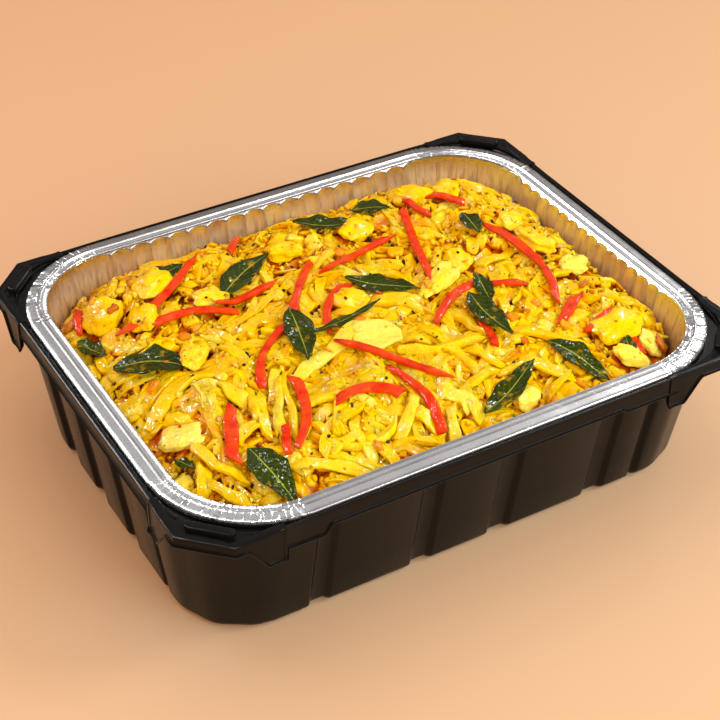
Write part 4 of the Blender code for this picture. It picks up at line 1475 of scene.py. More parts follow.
def lay_loose(heap, rng, groups, wanted, tries):
    """Lays loose pieces where the heap is lowest under its outline, into a group for each kind."""
    templates = {
        "strands": [strand_template(rng, f"strand_{n}") for n in range(18)],
        "threads": [strand_template(rng, f"thread_{n}", 7, 6) for n in range(10)],
        "slices": [slice_template(rng, f"slice_{n}") for n in range(14)],
        "lumps": [lump_template(rng, f"lump_{n}") for n in range(14)],
        "crumbs": [lump_template(rng, f"crumb_{n}", 2, 0.6) for n in range(8)],
    }
    last = None
    for _ in range(tries):
        if last and rng.random() < NEIGHBOUR_SHARE:
            kind = "strands"
            x, y, heading, bend = beside(last, rng)
        else:
            x, y, room = pick_spot(heap, rng)
            if room < LEAST_ROOM:
                continue
            kind = choose_kind(x, y, rng)
            heading, bend = any_heading(rng), rng.gauss(0.0, 0.6)
        last = None
        if wanted[kind] <= 0:
            continue
        _, along, across, high, grain, tone, _ = KINDS[kind]
        sizes = [rng.uniform(*span) * MM for span in (along, across, high)]
        template = templates[kind][rng.randrange(len(templates[kind]))]
        if kind in ("strands", "threads"):
            points = lay_strand(heap, template, x, y, heading, *sizes, bend, rng)
            if points is not None and kind == "strands":
                last = (x, y, heading, bend, sizes[1])
        else:
            tilt = (rng.gauss(0.0, 0.24), rng.gauss(0.0, 0.24))
            points = lay_block(heap, template, x, y, heading, sizes, tilt, sizes[2] * 0.28)
        if points is None:
            continue
        wanted[kind] -= 1
        groups[kind].add(template, points, tone_at(rng, heap, x, y, tone), grain, rng)


class CABBAGE_OT_cabbage(bpy.types.Operator):
    """Fills the foil tray with a packed bed, long shreds, slices and soft lumps of cabbage"""

    bl_idname = "cabbage_tray.cabbage"
    bl_label = "Cabbage"

    def execute(self, context):
        settings = context.scene.tray_cabbage
        rng = random.Random(settings.seed)
        heap = Heap(context.scene.tray_foil.corner)
        set_ceiling(heap)
        material = cabbage_material(settings)

        chosen = Gathering("cabbage_best_shreds")
        crown, under = lay_best(heap, rng, chosen)
        heap.hollow = np.where(np.isfinite(under), 0.0, heap.hollow)
        heap.target = heap.target - heap.hollow
        heap.ceiling = np.minimum(np.minimum(heap.ceiling, under), heap.target + HOLLOW_HEADROOM)
        bed = bed_mesh(heap, settings.depth)
        finish_piece("cabbage_bed", bed, shaded_bed_material(settings), ["cabbage_heap"])

        groups = {kind: Gathering(row[0]) for kind, row in KINDS.items()}
        wanted = {kind: getattr(settings, kind) for kind in KINDS}
        heap.top = heap.target - settings.depth
        lay_loose(heap, rng, groups, wanted, settings.tries)
        # the pieces that were laid first are the top of the heap
        covered = crown.top > crown.target - 0.99 * CROWN_DROP
        heap.top = np.maximum(heap.top, np.where(covered, crown.top, 0.0))
        heap.target = crown.target
        # local level of the heap, under which the recesses get their painted shade
        heap.level = blurred(heap.top, 4)
        chosen.finish(material, "cabbage", sharp_degrees=52.0, heap=heap)
        for kind, group in groups.items():
            group.finish(material, "cabbage", sharp_degrees=KINDS[kind][-1], heap=heap)
        FILLED["heap"] = heap
        return {"FINISHED"}


# -------- seeds, lentils, onion and flakes


def scatter(heap, rng, name, templates, number, size, tone, sink, least_depth, flat):
    """Scatters small grains over the heap, at least at a depth, and returns them gathered."""
    gathering = Gathering(name)
    made = 0
    tries = 0
    ceiling = lowered(heap.ceiling, max(1, round(size[1] / CELL / 2)))
    while made < number and tries < number * 30:
        tries += 1
        i, j = heap.spots[rng.randrange(len(heap.spots))]
        depth = heap.target[i, j] - heap.top[i, j]
        if depth < least_depth * rng.uniform(0.7, 1.2):
            continue
        span = rng.uniform(*size)
        sizes = (span * rng.uniform(0.9, 1.3), span, span * flat)
        if ceiling[i, j] < heap.top[i, j] + sizes[2] * 0.6:
            continue
        template = templates[rng.randrange(len(templates))]
        tilt = (rng.gauss(0.0, 0.3), rng.gauss(0.0, 0.3))
        place = (heap.xs[i], heap.ys[j], any_heading(rng))
        points = lay_block(heap, template, *place, sizes, tilt, sizes[2] * sink, over=True)
        if points is None:
            continue
        gathering.add(template, points, rng.uniform(*tone), 1.0, rng)
        made += 1
    return gathering


class CABBAGE_OT_bits(bpy.types.Operator):
    """Scatters masala crumbs, onion bits, lentils, mustard seeds, chilli flakes and pepper specks"""

    bl_idname = "cabbage_tray.bits"
    bl_label = "Seeds and Bits"

    def execute(self, context):
        number = context.scene.tray_toppings
        rng = random.Random(context.scene.tray_cabbage.seed + 1)
        heap = FILLED["heap"]
        ball = [grain_template("seed", 2)]
        chip = [lump_template(rng, f"chip_{n}", 2, 0.5) for n in range(6)]
        half = [lump_template(rng, f"half_{n}", 2, 0.12) for n in range(3)]
        flake = [flake_template(rng, f"flake_{n}") for n in range(8)]
        tiny = [grain_template("speck", 1, (1.0, 0.8, 0.6))]
        mash = [lump_template(rng, f"mash_{n}", 1, 0.7) for n in range(8)]
        turmeric = bpy.data.materials["Turmeric Cabbage"]
        seed = seed_material()
        any_tone = (0.0, 1.0)
        anywhere = -0.01
        # Rows: name, shapes, number, least and greatest size, tone, share sunk in, least depth under
        # the heap's outline, flatness, material, slot, whether the tone deepens as painted shade in the
        # recesses
        rows = (
            ("masala_crumbs", mash, number.crumbs, (0.0010, 0.0024), (0.50, 0.95), 0.30, 0.0007, 0.8,
             turmeric, "cabbage", heap),
            ("onion_bits", chip, number.onions, (0.0035, 0.0070), any_tone, 0.35, 0.0036, 0.5,
             onion_material(), "cabbage", None),
            ("lentils", half, number.lentils, (0.0022, 0.0032), any_tone, 0.35, 0.0028, 0.6,
             lentil_material(), "cabbage", None),
            ("mustard_seeds", ball, number.seeds, (0.0014, 0.0020), any_tone, 0.30, 0.0012, 1.0,
             seed, "cabbage", None),
            ("chilli_flakes", flake, number.flakes, (0.0008, 0.0019), any_tone, 0.15, anywhere, 0.4,
             flake_material(), "pepper", None),
            ("pepper_specks", tiny, number.specks, (0.0004, 0.0009), any_tone, 0.25, anywhere, 0.8,
             seed, "cabbage", None),
        )
        for *scattering, material, slot_name, recess_shade in rows:
            scatter(heap, rng, *scattering).finish(material, slot_name, heap=recess_shade)
        return {"FINISHED"}


# -------- pepper strips

# Rows as in the frame, in millimetres and degrees: x and y of the middle, heading, length, width,
# bend
PEPPER_STRIPS = (
    (-84, 60, 36, 74, 4.8, 28),
    (-79, 31, -15, 46, 4.8, -34),
    (-48, 35, 7, 36, 4.4, 16),
    (-20, 28, 50, 48, 5.0, -8),
    (-56, -16, -136, 58, 4.8, 60),
    (19, 41, 14, 50, 4.6, 6),
    (-12, 4, -133, 41, 4.6, 60),
    (52, 34, -109, 68, 5.2, 12),
    (88, 62, -50, 22, 4.6, -38),
    (87, -8, -94, 80, 5.2, -56),
    (39, -22, 31, 40, 5.0, -34),
    (71, -22, -30, 20, 4.2, 16),
    (86, -55, -143, 27, 6.2, 4),
    (95, -70, -160, 26, 4.4, 6),
    (103, -87, -80, 12, 4.6, 0),
    (39, -52, -105, 24, 4.2, -26),
    (-10, -45, -56, 55, 4.8, 18),
    (-16, -74, -88, 48, 5.0, -42),
    (-36, -66, -16, 35, 6.4, -78),
    (-71, -58, -116, 53, 5.2, -48),
    (-83, -73, 66, 18, 4.4, -15),
    (-102, -56, -115, 37, 7.0, 10),
    (-126, 66, -113, 18, 4.4, 8),
    (-29, 86, -126, 24, 4.2, 0),
    (68, 61, -78, 22, 4.2, 16),
)
STRIP_THICKNESS = 0.0022
STRIP_STEPS = 30


def height_under(tree, x, y):
    """Height of a surface straight under a place, or None beside it."""
    hit = tree.ray_cast(Vector((x, y, 1.0)), Vector((0.0, 0.0, -1.0)))[0]
    return None if hit is None else hit.z


def crest_line(tree, places):
    """Heights of a surface along a line of places, evened out, with the gaps beside it bridged."""
    found = [height_under(tree, x, y) for x, y in places]
    found = np.array([np.nan if height is None else height for height in found])
    known = ~np.isnan(found)
    index = np.arange(len(found))
    return smooth_line(np.interp(index, index[known], found[known]), 3)


class CABBAGE_OT_peppers(bpy.types.Operator):
    """Lays the red pepper strips over their places in the frame"""

    bl_idname = "cabbage_tray.peppers"
    bl_label = "Pepper Strips"

    def execute(self, context):
        rng = random.Random(context.scene.tray_cabbage.seed + 2)
        material = pepper_material(context.scene.tray_toppings)
        for number, row in enumerate(PEPPER_STRIPS, start=1):
            node = f"pepper_strip_{number:02d}"
            x, y, along, across = (value * MM for value in (row[0], row[1], row[3], row[4]))
            heading, bend = math.radians(row[2]), math.radians(row[5])
            template = strand_template(rng, node, 22, 12, 0.55, (0.60, 0.95))
            path = plan_path(x, y, heading, along * 0.985, bend, STRIP_STEPS)
            crest = crest_line(node_tree(node), zip(path[0], path[1]))
            s = np.linspace(-1.0, 1.0, STRIP_STEPS)
            roll = rng.uniform(-0.15, 0.15) + rng.uniform(-0.4, 0.4) * s
            points = bend_strip(
                template, path, crest, roll, along, across / 2 * 0.94, STRIP_THICKNESS,
                settle=-1.0, dish=0.00022, lift=0.8,
            )
            points[:, 2] = np.minimum(points[:, 2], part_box(node)[1].z)
            strip = Gathering(f"pepper_{number:02d}")
            strip.add(template, points, rng.uniform(0.0, 1.0), along * 100, rng)
            strip.finish(material, "pepper", [node])
        return {"FINISHED"}


# -------- curry leaves

# Rows as in the frame, in millimetres and degrees: x and y of the middle, heading, length, width,
# fold
CURRY_LEAVES = (
    (-112, 11, -42, 39, 20, 12),
    (-40, 51, 31, 45, 15, 18),
    (19, 74, -32, 34, 13, 24),
    (48, 76, -40, 22, 12, 14),
    (16, 9, -45, 40, 13, 10),
    (-43, -10, -105, 42, 14, 20),
    (-17, -8, 9, 48, 5, 8),
    (-97, -85, -78, 34, 17, 14),
    (57, -21, -106, 26, 9, 18),
    (48, -41, -90, 39, 14, 16),
    (85, 33, -99, 22, 11, 14),
    (70, -86, -62, 35, 14, 14),
    (28, -88, 23, 43, 12, 12),
    (98, -90, -100, 14, 7, 10),
    (-128, 45, -73, 22, 10, 14),
    (-75, 77, 7, 26, 12, 12),
    (-127, -57, -70, 13, 6, 10),
)
LEAF_CELLS_X = 34
LEAF_CELLS_Y = 14
LEAF_THICKNESS = 0.00045
VEINS = 9
VEIN_SLANT = 0.42
VEIN_RELIEF = 0.00004
MIDRIB_DEPTH = 0.00022
EDGE_WAVE = 0.00075


def leaf_reach(t):
    """Half width of a leaf along its length, -1 at the stalk to 1 at the drawn-out tip."""
    body = max(0.0, 1.0 - abs(t) ** 1.9) ** 0.95 * (1.0 - 0.24 * t) * 1.03
    return max(0.035, body)


def leaf_mesh(row, node, rng):
    """Blade of a leaf: a grid drawn out to the leaf's outline, folded along its midrib and veined."""
    x, y, heading, along, across, fold = row
    along, across = along * MM, across * MM
    middle = Vector((x, y)) * MM
    ahead = Vector((math.cos(math.radians(heading)), math.sin(math.radians(heading))))
    aside = Vector((-ahead.y, ahead.x))
    tree = node_tree(node)
    phase = rng.uniform(0.0, 6.3)
    bow = rng.uniform(-0.06, 0.06)
    spots = [2.0 * step / LEAF_CELLS_X - 1.0 for step in range(LEAF_CELLS_X + 1)]
    spine = crest_line(tree, [middle + ahead * (t * along / 2 * 0.97) for t in spots])
    bm = bmesh.new()
    bmesh.ops.create_grid(bm, x_segments=LEAF_CELLS_X, y_segments=LEAF_CELLS_Y, size=1.0)
    paint_grain(bm)
    for vert in bm.verts:
        t, side = vert.co.x, vert.co.y
        half = across / 2 * leaf_reach(t) * 0.99
        half *= 1.0 + 0.045 * math.sin(t * 11.0 + phase + (2.0 if side > 0 else 0.0))
        place = middle + ahead * (t * along / 2 * 0.985)
        place += aside * (half * side + bow * along * (1.0 - t * t))
        blade = float(np.interp(t, spots, spine)) + abs(half * side) * math.tan(math.radians(fold))
        ground = height_under(tree, *place)
        z = blade if ground is None else (blade + ground) / 2
        vein = math.sin((t * VEINS - abs(side) * 1.9) * math.pi)
        z += VEIN_RELIEF * vein * smoothstep(0.05, 0.3, abs(side)) * (1.0 - abs(side) ** 4)
        z += EDGE_WAVE * math.sin(t * 8.0 + phase + 1.5 * side) * side * side
        z -= MIDRIB_DEPTH * math.exp(-((side / 0.07) ** 2))
        vert.co = (place.x, place.y, min(z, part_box(node)[1].z - 0.00005) - LEAF_THICKNESS * 0.4)
    bmesh.ops.smooth_vert(bm, verts=bm.verts, factor=0.4, use_axis_z=True)
    bm.normal_update()
    if sum(face.normal.z for face in bm.faces) < 0:
        bmesh.ops.reverse_faces(bm, faces=bm.faces)
    return mesh_from(bm, node)


class CABBAGE_OT_leaves(bpy.types.Operator):
    """Lays the curry leaves over their places in the frame"""

    bl_idname = "cabbage_tray.leaves"
    bl_label = "Curry Leaves"

    def execute(self, context):
        rng = random.Random(context.scene.tray_cabbage.seed + 3)
        material = leaf_material(context.scene.tray_toppings)
        for number, row in enumerate(CURRY_LEAVES, start=1):
            node = f"curry_leaf_{number:02d}"
            mesh = leaf_mesh(row, node, rng)
            piece = finish_piece(f"leaf_{number:02d}", mesh, material, [node])
            thicken(piece, LEAF_THICKNESS)
        return {"FINISHED"}


# -------- materials

# Depth under the rim's top over which the foil goes from a painted brown, the reflection and shade of the
# food, to bare
PAINTED_WALL_DEPTH = 0.040
# Painted reflection of the food at the foot of the wall, and painted shade in the wall's fine crinkles
REFLECTED_FOOD_BROWN = (0.52, 0.34, 0.09)
CRINKLE_SHADE_BROWN = (0.34, 0.20, 0.09)


def rgba(value):
    """Four channels from a colour or from one grey level."""
    return (*value, 1.0) if hasattr(value, "__len__") else (value, value, value, 1.0)


class Nodes:
    """Short names for building a node tree."""

    def __init__(self, tree):
        self.tree = tree
        self.shader = tree.nodes.get("Principled BSDF")

    def add(self, kind, **values):
        node = self.tree.nodes.new(kind)
        for name, value in values.items():
            setattr(node, name, value)
        return node

    def link(self, source, target):
        self.tree.links.new(source, target)

    def feed(self, socket, value):
        """Links an output to a socket, or sets the socket to a value."""
        if isinstance(value, bpy.types.NodeSocket):
            self.link(value, socket)
        else:
            socket.default_value = value

    def set(self, label, value):
        """Feeds an input of the material's shader."""
        self.feed(self.shader.inputs[label], value)

    def math(self, operation, first, second, clamp=False):
        node = self.add("ShaderNodeMath", operation=operation, use_clamp=clamp)
        self.feed(node.inputs[0], first)
        self.feed(node.inputs[1], second)
        return node.outputs[0]

    def times(self, first, second):
        return self.math("MULTIPLY", first, second)

    def above(self, value, level, gain):
        """0 up to a level and 1 well over it, rising by the gain."""
        return self.math("MULTIPLY", self.math("SUBTRACT", value, level), gain, clamp=True)

    def below(self, value, level, gain):
        """1 well under a level and 0 from it on."""
        return self.math("MULTIPLY", self.math("SUBTRACT", level, value), gain, clamp=True)

    def swayed(self, value, pattern, amount, clamp=False):
        """A value that sways with a pattern about its middle."""
        sway = self.times(self.math("SUBTRACT", pattern, 0.5), amount)
        return self.math("ADD", value, sway, clamp)

    def mix(self, factor, first, second, blend="MIX"):
        node = self.add("ShaderNodeMix", data_type="RGBA", blend_type=blend)
        self.feed(node.inputs["Factor"], factor)
        for socket, value in ((node.inputs[6], first), (node.inputs[7], second)):
            self.feed(socket, value if isinstance(value, bpy.types.NodeSocket) else rgba(value))
        return node.outputs[2]

    def noise(self, vector, scale, detail=3.0, roughness=0.5, output="Fac"):
        node = self.add("ShaderNodeTexNoise")
        given = {"Vector": vector, "Scale": scale, "Detail": detail, "Roughness": roughness}
        for name, value in given.items():
            self.feed(node.inputs[name], value)
        return node.outputs[output]

    def cells(self, vector, scale):
        """Uneven cells: the distance from each cell's middle, and three random values for each."""
        node = self.add("ShaderNodeTexVoronoi")
        self.feed(node.inputs["Vector"], vector)
        self.feed(node.inputs["Scale"], scale)
        split = self.add("ShaderNodeSeparateColor")
        self.link(node.outputs["Color"], split.inputs[0])
        return node.outputs["Distance"], split.outputs

    def ramp(self, factor, stops):
        node = self.add("ShaderNodeValToRGB")
        elements = node.color_ramp.elements
        while len(elements) < len(stops):
            elements.new(0.5)
        for element, (place, value) in zip(elements, stops):
            element.position = place
            element.color = rgba(value)
        self.link(factor, node.inputs["Fac"])
        return node.outputs["Color"]

    def bump(self, height, strength, distance, normal=None):
        node = self.add("ShaderNodeBump")
        node.inputs["Strength"].default_value = strength
        node.inputs["Distance"].default_value = distance
        self.link(height, node.inputs["Height"])
        if normal is not None:
            self.link(normal, node.inputs["Normal"])
        return node.outputs["Normal"]

    def scaled(self, vector, scale):
        node = self.add("ShaderNodeMapping")
        node.inputs["Scale"].default_value = scale
        self.link(vector, node.inputs["Vector"])
        return node.outputs["Vector"]

    def split(self, vector):
        node = self.add("ShaderNodeSeparateXYZ")
        self.link(vector, node.inputs[0])
        return node.outputs

    def grain(self):
        return self.add("ShaderNodeUVMap", uv_map="grain").outputs["UV"]

    def tone(self):
        return self.add("ShaderNodeAttribute", attribute_name="tone").outputs["Fac"]


def new_material(name, roughness, **values):
    """Material whose shader takes plain values, with its nodes and its Object coordinates."""
    material = bpy.data.materials.new(name)
    material.use_nodes = True
    nodes = Nodes(material.node_tree)
    nodes.set("Roughness", roughness)
    for label, value in values.items():
        nodes.set(label.replace("_", " "), value)
    return material, nodes, nodes.add("ShaderNodeTexCoord").outputs["Object"]


def new_group(name, inputs, outputs):
    """Node group with a Vector, other inputs with their defaults, and outputs that are masks or values."""
    tree = bpy.data.node_groups.new(name, "ShaderNodeTree")
    tree.interface.new_socket("Vector", in_out="INPUT", socket_type="NodeSocketVector")
    for label, default in inputs.items():
        socket = tree.interface.new_socket(label, in_out="INPUT", socket_type="NodeSocketFloat")
        socket.default_value = default
    for label in outputs:
        tree.interface.new_socket(label, in_out="OUTPUT", socket_type="NodeSocketFloat")
    nodes = Nodes(tree)
    return nodes, nodes.add("NodeGroupInput").outputs, nodes.add("NodeGroupOutput").inputs


def oil_group():
    """Oily sheen: where a thin wet film lies, and how rough the surface is there and beside it."""
    name = "Oily Film"
    if name not in bpy.data.node_groups:
        nodes, given, result = new_group(name, {"Scale": 180.0, "Cover": 0.5}, ("Film", "Roughness"))
        broad = nodes.noise(given["Vector"], given["Scale"])
        film = nodes.above(nodes.math("ADD", broad, given["Cover"]), 0.62, 4.0)
        fine = nodes.noise(given["Vector"], nodes.times(given["Scale"], 5.0), 2.0)
        rough = nodes.math("SUBTRACT", 0.42, nodes.times(film, 0.24))
        nodes.link(film, result["Film"])
        nodes.link(nodes.math("ADD", rough, nodes.times(fine, 0.10)), result["Roughness"])
    return bpy.data.node_groups[name]


def speck_group():
    """Ground spice: dots scattered over a surface, of uneven size."""
    name = "Spice Dots"
    if name not in bpy.data.node_groups:
        nodes, given, result = new_group(name, {"Scale": 300.0, "Size": 0.2, "Share": 0.3}, ("Mask",))
        pushed = nodes.add("ShaderNodeVectorMath", operation="SCALE")
        nodes.link(nodes.noise(given["Vector"], 900.0, 1.0, output="Color"), pushed.inputs[0])
        pushed.inputs["Scale"].default_value = 0.0007
        moved = nodes.add("ShaderNodeVectorMath", operation="ADD")
        nodes.link(given["Vector"], moved.inputs[0])
        nodes.link(pushed.outputs[0], moved.inputs[1])
        distance, random_values = nodes.cells(moved.outputs[0], given["Scale"])
        chosen = nodes.math("LESS_THAN", random_values[0], given["Share"])
        reach = nodes.times(given["Size"], nodes.math("ADD", random_values[1], 0.5))
        near = nodes.below(distance, reach, 12.0)
        nodes.link(nodes.times(near, chosen), result["Mask"])
    return bpy.data.node_groups[name]


def use_group(nodes, tree, **inputs):
    node = nodes.add("ShaderNodeGroup", node_tree=tree)
    for name, value in inputs.items():
        nodes.feed(node.inputs[name], value)
    return node.outputs


def plastic_material(settings):
    material, nodes, place = new_material("Black Plastic", 0.34, Specular_IOR_Level=0.15)
    tint = nodes.mix(nodes.noise(place, 28.0, 4.0), settings.plastic, settings.plastic * 1.5)
    nodes.set("Base Color", tint)
    smear = nodes.noise(nodes.scaled(place, (1.0, 1.0, 0.25)), 60.0)
    nodes.set("Roughness", nodes.math("ADD", 0.20, nodes.times(smear, 0.14)))
    fine_grain = nodes.noise(place, 2200.0, 2.0)
    nodes.set("Normal", nodes.bump(fine_grain, 0.12, 0.0002))
    return material


def foil_material(settings):
    material, nodes, place = new_material("Bright Foil", 0.24, Metallic=1.0)
    # inside the tray the foil is duller, and browner down the wall: painted reflection of the food, with
    # its painted shade
    height = nodes.math("SUBTRACT", nodes.split(place)[2], FOIL_BOX[1].z - PAINTED_WALL_DEPTH)
    height = nodes.math("DIVIDE", height, PAINTED_WALL_DEPTH, clamp=True)
    wall = nodes.ramp(
        height,
        ((0.0, REFLECTED_FOOD_BROWN), (0.45, (0.84, 0.65, 0.37)), (0.88, (0.88, 0.80, 0.68)), (0.92, settings.metal)),
    )
    tint = nodes.mix(nodes.noise(place, 40.0), wall, (0.86, 0.86, 0.86), "MULTIPLY")
    lower_wall = nodes.below(height, 0.92, 4.0)
    # painted shade: fine dark streaks down the lower wall, where its crinkles would be shaded
    streaks = nodes.below(nodes.noise(nodes.scaled(place, (1.0, 1.0, 0.05)), 420.0), 0.50, 8.0)
    tint = nodes.mix(nodes.times(nodes.times(streaks, lower_wall), 0.50), tint, CRINKLE_SHADE_BROWN)
    nodes.set("Base Color", tint)
    nodes.set("Metallic", nodes.math("SUBTRACT", 1.0, nodes.times(lower_wall, 0.42)))
    rough = nodes.math("ADD", nodes.times(nodes.noise(place, 90.0), 0.12), nodes.times(lower_wall, 0.14))
    nodes.set("Roughness", nodes.math("ADD", rough, 0.20))
    rolled = nodes.noise(nodes.scaled(place, (1.0, 1.0, 0.06)), 900.0)
    creases = nodes.noise(place, 240.0, 4.0, 0.6)
    normal = nodes.bump(rolled, 0.16, 0.0003)
    nodes.set("Normal", nodes.bump(creases, 0.14, 0.0006, normal))
    return material


def cabbage_colour(settings, nodes, place, fibre):
    """Turmeric colour of a piece: its own tone with the painted shade of the recesses, broken up by stains,
    fibres and ground spice.
    """
    level = nodes.swayed(nodes.tone(), nodes.noise(place, 150.0, 4.0, 0.6), 0.48)
    level = nodes.swayed(level, fibre, 0.58, clamp=True)
    tint = nodes.ramp(
        level,
        ((0.05, settings.deep), (0.42, settings.golden), (0.80, settings.yellow), (1.0, settings.pale)),
    )
    red = use_group(nodes, speck_group(), Vector=place, Scale=210.0, Size=0.16, Share=0.16)["Mask"]
    black = use_group(nodes, speck_group(), Vector=place, Scale=330.0, Size=0.15, Share=0.13)["Mask"]
    tint = nodes.mix(nodes.times(red, 0.75), tint, (0.50, 0.06, 0.004))
    return nodes.mix(nodes.times(black, 0.85), tint, (0.045, 0.018, 0.006))


def wet_finish(nodes, place, cover, knobs, fine, wet=1.0):
    """Oily surface: a broken film in the coat, over coarse knobs and a finer grain."""
    film = use_group(nodes, oil_group(), Vector=place, Scale=130.0, Cover=cover)
    nodes.set("Roughness", film["Roughness"])
    nodes.set("Coat Weight", nodes.times(film["Film"], wet))
    normal = nodes.bump(nodes.noise(place, 230.0, 2.0), knobs, 0.0020)
    nodes.set("Coat Normal", normal)
    nodes.set("Normal", nodes.bump(fine, 0.45, 0.0006, normal))


def cabbage_material(settings):
    material, nodes, place = new_material(
        "Turmeric Cabbage", 0.40, Subsurface_Weight=0.45, Subsurface_Scale=0.0022, Coat_Roughness=0.09,
        Coat_IOR=1.50, Specular_IOR_Level=0.0,
    )
    nodes.set("Subsurface Radius", (1.0, 0.45, 0.05))
    fibre = nodes.noise(nodes.scaled(nodes.grain(), (1.4, 13.0, 1.0)), 2.2)
    nodes.set("Base Color", cabbage_colour(settings, nodes, place, fibre))
    wet_finish(nodes, place, 0.27, 0.70, fibre)
    return material


def shaded_bed_material(settings):
    material, nodes, place = new_material("Packed Bed Shade", 0.45)
    # the bed's dark orange-brown is painted shade in the gaps between the loose pieces; it lightens to
    # golden in random patches
    distance, random_values = nodes.cells(place, 260.0)
    level = nodes.math("ADD", nodes.noise(place, 120.0), nodes.times(random_values[0], 0.4))
    tint = nodes.ramp(
        nodes.math("SUBTRACT", level, 0.2, clamp=True),
        ((0.0, (0.20, 0.035, 0.002)), (0.45, (0.50, 0.13, 0.003)), (1.0, settings.golden)),
    )
    nodes.set("Base Color", tint)
    nodes.set("Normal", nodes.bump(distance, 0.8, 0.0016))
    return material


def pepper_material(settings):
    material, nodes, place = new_material(
        "Red Pepper", 0.22, Subsurface_Weight=0.12, Subsurface_Scale=0.002, Coat_Roughness=0.08,
        Coat_IOR=1.33, Specular_IOR_Level=0.0,
    )
    nodes.set("Subsurface Radius", (1.0, 0.2, 0.08))
    patch = nodes.swayed(0.5, nodes.noise(place, 130.0), 2.4, clamp=True)
    tint = nodes.mix(patch, settings.pepper, (0.80, 0.075, 0.0003))
    stain = nodes.above(nodes.noise(place, 85.0), 0.62, 4.0)
    tint = nodes.mix(nodes.times(stain, 0.6), tint, (0.92, 0.30, 0.01))
    nodes.set("Base Color", tint)
    wet_finish(nodes, place, 0.44, 0.75, nodes.noise(place, 420.0, 3.0, 0.55))
    return material


def leaf_material(settings):
    material, nodes, place = new_material(
        "Curry Leaf", 0.25, Coat_Roughness=0.08, Coat_IOR=1.33, Specular_IOR_Level=0.0
    )
    along, aside, _ = nodes.split(nodes.grain())
    across = nodes.math("ABSOLUTE", nodes.math("SUBTRACT", aside, 0.5), 0.0)
    rib = nodes.math("SUBTRACT", 1.0, nodes.times(across, 30.0), clamp=True)
    slanted = nodes.math("SUBTRACT", along, nodes.times(across, VEIN_SLANT))
    wave = nodes.math("SINE", nodes.times(slanted, VEINS * 2 * math.pi), 0.0)
    vein = nodes.math("POWER", nodes.times(nodes.math("ADD", wave, 1.0), 0.5), 14.0)
    tint = nodes.mix(nodes.noise(place, 120.0), settings.leaf, (0.042, 0.064, 0.0006))
    tint = nodes.mix(nodes.times(vein, 0.25), tint, (0.11, 0.17, 0.010))
    tint = nodes.mix(nodes.times(rib, 0.85), tint, (0.42, 0.50, 0.05))
    stain = nodes.above(nodes.noise(place, 150.0, 4.0), 0.60, 6.0)
    tint = nodes.mix(nodes.times(stain, 0.8), tint, (0.62, 0.36, 0.006))
    nodes.set("Base Color", tint)
    wet_finish(nodes, place, 0.42, 0.75, nodes.noise(place, 520.0))
    return material


def bit_material(name, stops, roughness, scale, **values):
    """Oily material of a small bit, whose colour goes with its tone and is mottled."""
    material, nodes, place = new_material(
        name, roughness, Coat_Roughness=0.07, Specular_IOR_Level=0.03, **values
    )
    patch = nodes.noise(place, scale)
    level = nodes.swayed(nodes.tone(), patch, 0.8, clamp=True)
    nodes.set("Base Color", nodes.ramp(level, stops))
    wet_finish(nodes, place, 0.30, 0.5, patch, 0.6)
    return material


def onion_material():
    stops = ((0.0, (0.50, 0.12, 0.002)), (0.5, (0.76, 0.27, 0.004)), (1.0, (0.90, 0.44, 0.008)))
    return bit_material("Browned Onion", stops, 0.25, 300.0, Subsurface_Weight=0.2, Subsurface_Scale=0.002)


def lentil_material():
    stops = ((0.0, (0.38, 0.13, 0.012)), (0.5, (0.66, 0.30, 0.03)), (1.0, (0.80, 0.50, 0.09)))
    return bit_material("Fried Lentil", stops, 0.32, 500.0)


def seed_material():
    stops = ((0.0, (0.012, 0.007, 0.005)), (0.6, (0.035, 0.014, 0.007)), (1.0, (0.11, 0.045, 0.015)))
    return bit_material("Mustard Seed", stops, 0.3, 700.0)


def flake_material():
    stops = ((0.0, (0.25, 0.014, 0.002)), (0.5, (0.55, 0.045, 0.003)), (1.0, (0.80, 0.17, 0.008)))
    return bit_material("Chilli Flake", stops, 0.3, 800.0)


# -------- stage

# Light from all round, and what shiny surfaces see of it
AMBIENT = (0.78, 0.48, 0.25)
DARK_ROOM = (0.15, 0.125, 0.105)
WHITE = (1.0, 1.0, 1.0)
# Rows: name, place, size, radiance, tint, seen in reflections, lights matt surfaces
LIGHTS = (
    ("key_light", (1.20, -0.75, 1.35), (0.50, 0.50), 14.6, (1.0, 0.99, 0.97), True, True),
    ("back_panel", (-0.79, 1.20, 0.91), (1.00, 0.80), 1.8, WHITE, True, False),
    ("rim_panel", (0.64, 1.10, 1.49), (1.60, 1.50), 0.37, (0.98, 0.96, 1.0), True, False),
    ("shoulder_panel", (0.77, -1.10, 1.34), (0.60, 0.50), 2.2, WHITE, True, False),
    ("left_spark", (-0.55, 0.25, 1.15), (0.22, 0.22), 48.0, WHITE, True, False),
    ("far_spark", (-0.75, 0.95, 0.78), (0.22, 0.22), 48.0, WHITE, True, False),
    ("right_spark", (0.98, 0.42, 0.85), (0.15, 0.15), 70.0, WHITE, True, False),
    ("top_spark", (-0.20, -0.20, 1.45), (0.15, 0.15), 60.0, WHITE, True, False),
    ("high_fill", (-0.30, 0.50, 1.90), (2.00, 2.00), 0.86, WHITE, False, True),
    ("low_fill", (-1.00, -1.80, 1.00), (1.80, 1.50), 2.6, (1.0, 0.62, 0.36), False, True),
    ("front_fill", (0.50, -1.30, 0.90), (1.20, 0.90), 5.6, (0.46, 0.80, 1.0), False, True),
)
# What the camera looks at, and the middle of what the lights are aimed at
CAMERA_TARGET = Vector((-0.0245, -0.0378, FOIL_BOX[1].z))
LIGHT_TARGET = Vector((0.0, 0.0, 0.05))
FLOOR_SIZE = 4.0


